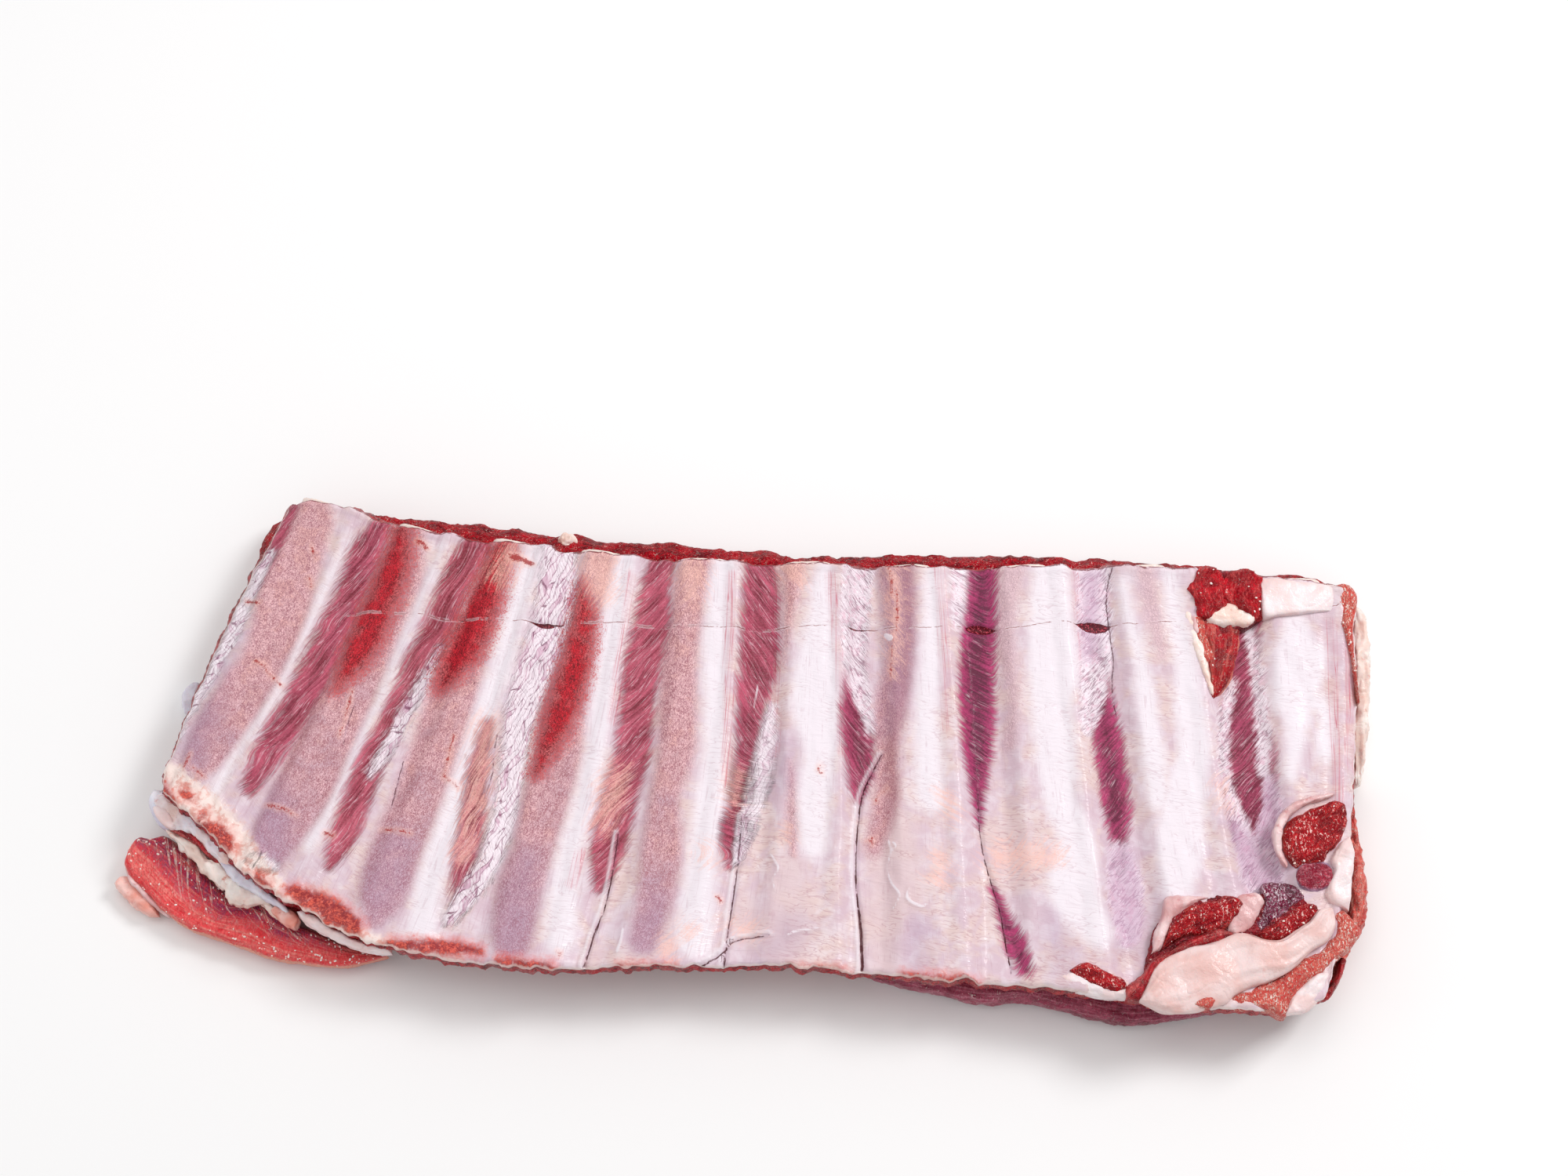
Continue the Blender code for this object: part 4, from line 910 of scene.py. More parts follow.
    colour = painted(
        tone, tone["pearl"],
        (ramp(soft, 0.4, 0.62), "cream", 0.9),
        (ramp(shaken(patchy, (softFine, 0.4)), 0.4, 0.7), "white", 0.4),
        (ramp(shaken(mark["beige"], (soft, 8.0), (softFine, 2.0)), -3.5, 3.0), "beige", 0.7),
        (across["Lines"] * ramp(soft, 0.44, 0.56), "wrinkle", 0.2),
        (faceMask, faceTone, 0.9),
        (grain["Fleck"] * faceMask, "fleck", 0.75),
        (ramp(shaken(mark["lilac"], (softFine, 2.0)), -5.0, 5.0), "lilac", 0.32),
        (fasciaAndHighlight, "white", 0.95),
        (lengthwise * ramp(soft, 0.56, 0.46), "wrinkle", 0.22),
        (across["Lines"] * pale * ramp(soft, 0.48, 0.58), "wrinkle", 0.24),
        (ramp(mark["vein"], -2.2, 0.4), "pinkVein", 0.14),
        (ductLines, "pinkVein", 0.7),
        (meatMask, meat, 0.95),
        (silverMask, blend(mark["plated"], skin, plated), 0.92),
        (ramp(shaken(mark["blood"], (patchy, 4.0)), -3.0, 1.5), "bloodLight", 0.22),
        (bloodMask, blend(grain["Grain"], tone["bloodDark"], bloodTone), 0.94),
        (warmMask * ramp(grain["Grain"], 0.0, 1.0, 0.5, 1.0), "warm", 0.66),
        (ramp(shaken(mark["vessel"], (softFine, 3.0)), -1.6, 0.4), "warm", 0.4),
        (ramp(shaken(mark["vessel"], (softFine, 1.6), (gritty, 1.6)), -0.3, 0.25), "vessel", 0.85),
        (ramp(shaken(mark["torn"], (softFine, 5.0)), -2.0, 1.0), torn, 0.88),
        (ramp(marrowIn, -3.2, -0.4), "marrowLight", 0.45),
        (ramp(marrowIn, -1.3, 0.6), marrowTone, 0.9),
        (ramp(mark["thread"], -0.25, 0.1), "white", 0.8),
        (cutLine("score", 0.2, 0.7) * broken, "white", 0.35),
        (cutLine("score", 0.04, 0.2) * broken, "slitEdge", 0.85),
        (ramp(gapeIn, 0.12, 0.26), gape, 0.96),
        # painted highlight on the raised lip beside each long slit
        (mark["lip"], "white", 0.7),
        # painted lilac shade beside each slit
        (cutLine("slit", 0.1, 0.7), "lilac", 0.15),
        (cutLine("slit", 0.06, 0.24) * ramp(shaken(softFine, (patchy, 0.6)), 0.36, 0.5), "slit", 0.8),
        (ramp(shaken(mark["slit"], (softFine, 0.5)), 0.05, 0.3), "slit", 0.92),
        (rimMask * ramp(mark["far"], 0.8, 2.0, 0.15, 1.0), "fat", 0.5),
        # painted shade along the far edge, where the lining meets the slab
        (farShadeLine * ramp(softFine, 0.36, 0.5), "rimShade", 0.85),
    )
    colour = blend(wallMask, colour, painted(tone, raw, (specks["Mask"], "fat", 0.7)))

    height = grain["Height"] * faceMask * 0.3 + strand["Height"] * meatMask * 0.5
    height = height + sheen * mark["plated"] * (silverMask * 0.7) + across["Height"] * 0.25
    height = height + lines["Height"] * (silverMask * 0.6) + softFine * wallMask * 0.8
    finishMaterial(tree, shader, colour, ramp(softFine, 0.3, 0.7, 0.24, 0.4), height)
    return material


makeLining(makeLiningMaterial())
print("lining made")

# rib bones
ribs = {
    "count": 10, "shortEnds": {0: 0.90, 8: 0.80, 9: 0.50}, "usualEnd": 0.965, "middle": 15.2,
    "halfHeight": 4.4,
    "halfWidthFar": 7.4, "halfWidthNear": 8.6, "squareness": 0.8, "around": 56, "along": 40,
    "colours": {"compact": (240, 222, 214), "spongy": (150, 44, 48), "spongyLight": (214, 150, 142),
                "hole": (84, 14, 22)},
}


def ribBar(number, material):
    # an oval ring carried along the rib's guide line; the sawn far end is a slightly dished disc of rings
    end = ribs["shortEnds"].get(number, ribs["usualEnd"])
    v = np.linspace(0.0, end, ribs["along"])
    x, y = fanPoint(np.full(v.shape, float(number)), v)
    turn = np.linspace(0, 2 * np.pi, ribs["around"], endpoint=False)
    direction = np.stack([np.gradient(x), np.gradient(y)], -1)
    direction /= np.linalg.norm(direction, axis=1)[:, None]
    side = np.stack([-direction[:, 1], direction[:, 0]], -1)
    taper = np.sqrt(np.clip((end - v) / 0.06, 0.02, 1))
    width = (ribs["halfWidthFar"] + (ribs["halfWidthNear"] - ribs["halfWidthFar"]) * v) * taper
    across = signedPower(np.cos(turn), ribs["squareness"])
    up = signedPower(np.sin(turn), ribs["squareness"])
    ring = np.zeros((len(v), len(turn), 3))
    ring[..., :2] = np.stack([x, y], -1)[:, None] + side[:, None] * (width[:, None] * across)[..., None]
    ring[..., 2] = ribs["middle"] + archOf(v)[:, None] + ribs["halfHeight"] * taper[:, None] * up
    ring[..., 2] += 0.25 * noise(ring * [1, 0.3, 1], 4.0, 2)
    # the sawn end stands half a millimetre proud of the meat
    share = np.array([0.25, 0.5, 0.7, 0.86, 0.96, 1.0])
    out = np.array([0.3, 0.3, 0.4, 0.55, 0.5, 0.25])
    middle = np.array([x[0], y[0], ribs["middle"] + archOf(0.0)])
    cap = middle + (ring[0] - middle) * share[:, None, None]
    cap[..., :2] -= direction[0] * out[:, None, None]
    cap[..., :2] -= direction[0] * 0.12 * noise(cap, 1.0, 2)[..., None]
    every = np.concatenate([cap, ring])
    tips = np.array([cap[0].mean(0), [x[-1], y[-1], ribs["middle"] + archOf(v[-1])]])
    core = np.concatenate([np.repeat(share, len(turn)), np.full(len(v) * len(turn), 1.2), [0.0, 1.2]])
    makePiece(f"rib_{number + 1:02d}", np.concatenate([every.reshape(-1, 3), tips]),
              tubeFaces(*every.shape[:2]),
              material, f"rib_bone_{number + 1:02d}", {"core": core})


def makeBoneMaterial():
    tone = tonesOf(ribs["colours"])
    material, tree, shader = newMaterial("sawnBone", 0.4, 0.2, 0.15)
    place = inMillimetres(tree)
    cells = cellNode(place, 1.1, dimensions="3D")
    cloud = noiseNode(place, 0.6, 3, 0.6, 0.5)
    spongy = blend(ramp(cells, 0.04, 0.14), tone["spongyLight"], tone["spongy"])
    spongy = blend(ramp(cells, 0.3, 0.45), spongy, tone["hole"])
    inner = ramp(shaken(fieldNode(tree, "core"), (cloud, 0.3)), 0.84, 0.74)
    height = ramp(cells, 0.3, 0.0) * inner * 0.35
    finishMaterial(tree, shader, blend(inner, tone["compact"], spongy), ramp(cloud, 0.3, 0.7, 0.35, 0.55),
                   height)
    return material


boneMaterial = makeBoneMaterial()
for number in range(ribs["count"]):
    ribBar(number, boneMaterial)
print("ribs made")

# raw meat, fat and cartilage materials
meats = {
    # name: base, deep, light and fat colour; size and amount of the fat, width and length of the fibres,
    # grains and pale specks, partly fat and partly painted glints; others: side is a tint, its start and end
    # in the side field, and the slant of the pale threads on it
    "sideMeat": ((230, 106, 94), (190, 54, 54), (244, 176, 158), (252, 224, 212),
                 (1.2, 0.45, 0.6, 14, 0.5, 0.5), {}),
    "marrow": ((200, 56, 80), (140, 14, 44), (226, 140, 152), (236, 196, 206), (0.8, 0.3, 0.5, 1.5, 0.9, 0.6),
               {"edge": (196, 176, 210), "edgeWide": 0.46}),
    "bedMeat": ((150, 4, 28), (76, 0, 14), (204, 70, 80), (250, 214, 208), (1.0, 0.2, 0.6, 5, 0.6, 0.4),
                {"grainSize": 0.4}),
    "darkSkin": ((150, 44, 80), (88, 6, 36), (214, 150, 176), (250, 232, 240), (0.9, 0.5, 0.6, 4, 0.9, 0.85),
                 {"grainSize": 0.4}),
    "outerMeat": ((186, 4, 28), (92, 0, 14), (210, 40, 50), (254, 210, 200), (1.0, 0.3, 0.6, 7, 0.6, 0.3),
                  {"wet": 0.06}),
    "redMeat": ((196, 40, 50), (118, 6, 20), (226, 116, 112), (252, 226, 214), (1.3, 0.2, 0.6, 8, 0.5, 0),
                {}),
    "flapMeat": ((255, 100, 100), (232, 50, 60), (254, 162, 150), (252, 226, 214),
                 (0.8, 0.2, 0.6, 16, 0.7, 0),
                 {"side": ((154, 48, 92), -0.15, 0.25, -26.0), "edge": (246, 176, 150), "edgeWide": 0.05}),
    "cutMeat": ((204, 4, 26), (118, 0, 16), (232, 60, 58), (252, 212, 204), (0.9, 0.2, 0.5, 5, 0.7, 0.8),
                {"grainSize": 0.4, "edge": (214, 84, 74)}),
    "lumpMeat": ((216, 10, 36), (146, 0, 20), (232, 92, 90), (252, 220, 212),
                 (1.1, 0.16, 0.5, 2.5, 0.7, 0.15), {}),
    "wedgeMeat": ((196, 6, 30), (120, 0, 18), (228, 116, 104), (252, 220, 206), (1.2, 0.22, 0.8, 9, 0.4, 0.3),
                  {"edge": (236, 150, 130)}),
    "purpleMeat": ((176, 72, 98), (120, 24, 52), (214, 138, 156), (248, 222, 218),
                   (1.6, 0.2, 0.5, 12, 0.5, 0), {}),
    "orangeMeat": ((240, 116, 100), (220, 68, 64), (250, 178, 156), (255, 232, 222),
                   (0.8, 0.3, 0.5, 2, 0.9, 1),
                   {"grainSize": 0.34}),
}
fats = {
    # name: base, shade and stain colour, and how much of the stain
    "paleFat": ((246, 232, 234), (238, 208, 206), (230, 160, 150), 0.0),
    "skirtFat": ((238, 212, 210), (232, 190, 184), (228, 156, 142), 0.25),
    "tornSkin": ((240, 232, 240), (240, 208, 200), (206, 96, 76), 0.4),
    "pinkFat": ((248, 204, 196), (232, 142, 124), (204, 64, 56), 0.7),
    "lumpFat": ((253, 238, 232), (250, 218, 206), (220, 110, 80), 0.45),
    "tornFat": ((250, 238, 232), (236, 206, 194), (206, 104, 80), 0.4),
    "beadFat": ((255, 236, 230), (250, 214, 204), (240, 190, 180), 0.0),
    "membrane": ((238, 208, 208), (214, 160, 160), (186, 66, 74), 0.6),
    "cartilage": ((238, 234, 244), (206, 200, 218), (206, 120, 110), 0.1),
}


def makeMeatMaterial(name, base, deep, light, fat, numbers, others):
    fatSize, fatAmount, fibreWidth, fibreLength, grains, specks = numbers
    wet = others.get("wet", 0.32)
    tone = tonesOf({"base": base, "deep": deep, "light": light, "fat": fat, "edge": others.get("edge", fat)})
    material, tree, shader = newMaterial(name, wet, 0.08, 0.0, 0.4 * wet)
    along = mapNode(tree, "along")
    place = inMillimetres(tree)
    fibre = useGroup(meatFibre, along, width=fibreWidth, length=fibreLength, contrast=1.5)
    grain = useGroup(wetGrain, place, size=others.get("grainSize", 0.5), flecks=0.3)
    fatMask = useGroup(fatSpecks, place, size=fatSize, amount=fatAmount)["Mask"]
    cloud = noiseNode(place, 0.2, 4, 0.65, 0.8)
    colour = blend(ramp(cloud, 0.36, 0.62), tone["deep"], tone["base"])
    if "side" in others:
        tint, low, high, slant = others["side"]
        length = addNode(tree, "SeparateXYZ", {"Vector": along}, 1)
        tinted = ramp(shaken(fieldNode(tree, "side"), (cloud, 0.6)), low, high) * ramp(length, 78.0, 52.0)
        threads = useGroup(meatFibre, turned(along, slant), width=1.3, length=30.0, contrast=1.0)["Sheath"]
        colour = blend(threads * (tinted * 0.75), blend(tinted, colour, linear(*tint)), tone["fat"])
    # pale specks in the fat colour: partly flecks of fat, partly painted glints
    high = 0.74 - 0.16 * specks
    colour = painted(
        tone, colour,
        (calc("POWER", fibre["Streak"], 2.0), "light", 0.6),
        (ramp(grain["Height"], 0.56, 0.42) * grains, "deep", 0.8),
        (fatMask, "fat", 0.85),
        (ramp(shaken(grain["Height"], (cloud, 0.4)), high, high + 0.05), "fat", 0.9),
    )
    if "edge" in others:
        rim = ramp(shaken(fieldNode(tree, "core"), (grain["Height"], 0.3)),
                   0.97 - others.get("edgeWide", 0.11), 0.97)
        colour = painted(tone, colour, (rim, "edge", 0.8))
    height = fibre["Height"] * 0.5 + fatMask * 0.15 + grain["Height"] * grains
    finishMaterial(tree, shader, colour, ramp(cloud, 0.3, 0.7, 0.26, 0.4), height)
    return material


def makeFatMaterial(name, base, shade, stain, amount):
    material, tree, shader = newMaterial(name, 0.5, 0.14, 0.12, softReach=1.2)
    place = inMillimetres(tree)
    cloud = noiseNode(place, 0.22, 4, 0.65, 0.6)
    fine = noiseNode(place, 0.9, 3, 0.6, 0.4)
    soft = noiseNode(place, 0.12, 2, 0.5, 0.4)
    colour = blend(ramp(soft, 0.34, 0.66), linear(*base), linear(*shade))
    stained = ramp(shaken(cloud, (fine, 0.5)), 0.64 - 0.16 * amount, 0.82) * min(0.8, 2 * amount)
    height = abs(noiseNode(place, 0.09, 2, 0.5, 1.0) - 0.5) * 1.2 + fine * 0.2
    finishMaterial(tree, shader, blend(stained, colour, linear(*stain)), ramp(fine, 0.3, 0.7, 0.28, 0.42),
                   height)
    return material


finishes = {name: makeMeatMaterial(name, *values) for name, values in meats.items()}
finishes.update({name: makeFatMaterial(name, *values) for name, values in fats.items()})
print("materials made")

# the slab of outer meat
slab = {
    "outline": [
        (-136, 76), (-104, 77), (-72, 73), (-38, 69), (-10, 67), (8, 65), (55, 64.8), (100, 63.8),
        (140, 59.5),
        (167, 54), (170, 45), (169, 20), (165.4, -6), (162.4, -26), (160.2, -44), (151, -57), (136, -59),
        (100, -57.6), (64, -56), (30, -52), (-20, -51.5), (-70, -50), (-104, -44), (-134, -33), (-152, -15),
        (-161, 0), (-154.5, 22), (-146, 50),
    ],
    "profile": [
        # inward of the outline, z
        (9, 0), (5, 0), (2.4, 0.05), (1.2, 0.35), (0.4, 1.1), (0.0, 2.4), (-0.25, 4.0), (-0.2, 5.6),
        (0.0, 7.0),
        (0.5, 8.4), (1.3, 9.7), (2.3, 11.0), (3.4, 12.2), (4.6, 13.3), (6.0, 14.3), (8.0, 15.0), (12.0, 15.2),
    ],
    "tips": [(0, 0, 0), (0, 5, 14.5)], "straight": 7.0, "around": 1100, "lump": 0.8, "rag": 0.9,
}


def closedCurve(rows, count):
    # a closed cubic curve through the rows, sampled evenly; it runs past its start at both ends, then is
    # cut there
    rows = np.array(rows, float)
    padded = np.concatenate([rows[-3:], rows, rows[:4]])
    dense = smoothThrough(padded, 40 * len(padded))
    window = 40 * 8
    start = np.argmin(np.hypot(*(dense[:window, :2] - rows[0]).T))
    stop = len(dense) - 1 - np.argmin(np.hypot(*(dense[::-1][:window, :2] - rows[0]).T))
    closed = np.concatenate([dense[start:stop, :2], dense[start:start + 1, :2]])
    length = lengthAlong(closed)
    place = np.linspace(0, length[-1], count, endpoint=False)
    return np.stack([np.interp(place, length, closed[:, k]) for k in (0, 1)], -1)


def makeSlab(material):
    # loops around the outline: flat below, a bulging side, then a slope that climbs to the wall of the lining
    loop = closedCurve(slab["outline"], slab["around"])
    outward = outwardOf(loop)
    straight = slab["straight"]
    # the slope shows at the far and left edges
    low = np.clip(step(-0.2, 0.6, outward[:, 1]) + step(0.4, 0.9, -outward[:, 0]), 0, 1)
    levels = []
    for inward, z in slab["profile"]:
        tall = np.where(z > straight, straight + (z - straight) * (0.3 + 0.7 * low), z)
        place = flat(loop[:, 0], loop[:, 1], tall * 1.6)
        loose = step(0.0, 2.0, z)
        push = loose * (slab["lump"] * noise(place * [0.6, 0.6, 1], 5.0, 3) + 0.35 * noise(place, 1.6, 2))
        out = -inward + push + slab["rag"] * loose * noise(flat(loop[:, 0], loop[:, 1]), 9.0, 3)
        rise = loose * 0.45 * noise(place + 40, 2.6, 3)
        levels.append(np.column_stack([loop + outward * out[:, None], tall + rise]))
    points = np.concatenate([np.array(levels).reshape(-1, 3), slab["tips"]])
    length = np.linspace(0, 1000, len(loop), endpoint=False)
    down = lengthAlong(np.array(slab["profile"]))
    along = np.stack(np.broadcast_arrays(down[:, None], length[None]), -1).reshape(-1, 2)
    along = np.concatenate([along, [[0, 0], [0, 0]]])
    faces = tubeFaces(len(levels), len(loop))
    makePiece("outerMeat", points, faces, material, "outer_meat", maps={"along": along})


makeSlab(finishes["outerMeat"])
print("slab made")

# strips of muscle, fat and cartilage, and patches of them by their outlines
strips = {
    # name: node, slot, finish, then (x, y, half width, bottom, top) along its middle
    "underMuscle": ("under_muscle", "purple_muscle", "purpleMeat", [(32, -54, 2.5, 0, 8),
        (50, -56.4, 4, 0, 9), (64, -58.7, 4.5, 0, 9.2), (73, -58.4, 4, 0, 8.8), (85, -60.8, 4.4, 0, 9.2),
        (100, -63.8, 4.8, 0, 9.4), (115, -63.3, 4, 0, 9), (128, -62.6, 2.5, 0, 8)]),
    "sideMeat": ("side_meat", "red_muscle", "sideMeat", [(164.4, -8, 1.2, 3, 12.6),
        (163.8, -16, 1.8, 3, 14), (164.3, -25, 2.3, 3, 14.6), (164, -35, 2.5, 3, 14.8),
        (162.6, -43, 2.3, 3, 14), (159, -49, 2, 3, 13), (156.6, -55.4, 1.9, 3, 12.6),
        (153.4, -60.6, 1.5, 3, 12)]),
    "sideFat": ("side_fat", "pale_fat", "tornFat", [(171.4, 49.5, 1.2, 0, 9.6), (171.4, 43, 2.4, 0, 13),
        (170.8, 35, 3, 0, 15), (169.8, 20, 2.9, 0, 14.4), (168.6, 8, 2.5, 0, 12.4),
        (168.2, -3, 1.2, 0, 7.6)]),
    "farScrap": ("far_scrap", "pink_fat", "tornFat", [(-55.6, 68.4, 1.2, 10.4, 13),
        (-53, 67.4, 2.4, 10.4, 14.4), (-50, 66.2, 1.4, 10.4, 13)]),
    "edgeTag": ("edge_tag", "cartilage", "cartilage", [(-157.4, 28, 1.4, 0, 4.6), (-158.8, 23, 2.2, 0, 5.8),
        (-158.4, 18, 1.4, 0, 4.6)]),
    "flapRim": ("", "pale_fat", "membrane", [(-171.3, -25, 0.5, 2, 6.2), (-169.9, -28.8, 0.9, 2, 6.8),
        (-166.6, -32.4, 1, 2, 6.8), (-162.6, -36.2, 0.9, 2, 6.4), (-158.2, -39.4, 0.4, 2, 5.8)]),
    "rimFold": ("", "pale_fat", "membrane", [(157.6, -9.4, 0.7, 20, 22.6), (149.6, -11.6, 1, 20, 23.2),
        (144.4, -14.6, 1.1, 20, 23.6), (141.6, -19.2, 1.1, 20, 23.4), (141.2, -24.6, 1, 20, 23),
        (143.2, -29.6, 0.7, 20, 22.6)]),
    "wedgeRim": ("", "pale_fat", "lumpFat", [(119.4, 54.2, 1, 19, 22.4), (120.6, 47, 1.4, 19, 22.9),
        (122.2, 38, 1.4, 19, 22.9), (124.4, 29, 1.2, 19, 22.7), (126.8, 18.6, 0.8, 19, 22.4)]),
    "wedgeSide": ("", "orange_muscle", "orangeMeat", [(123.6, 42, 1.4, 19, 22.8), (124.6, 35, 2, 19, 23.2),
        (126.4, 27.4, 1.4, 19, 22.8)]),
}
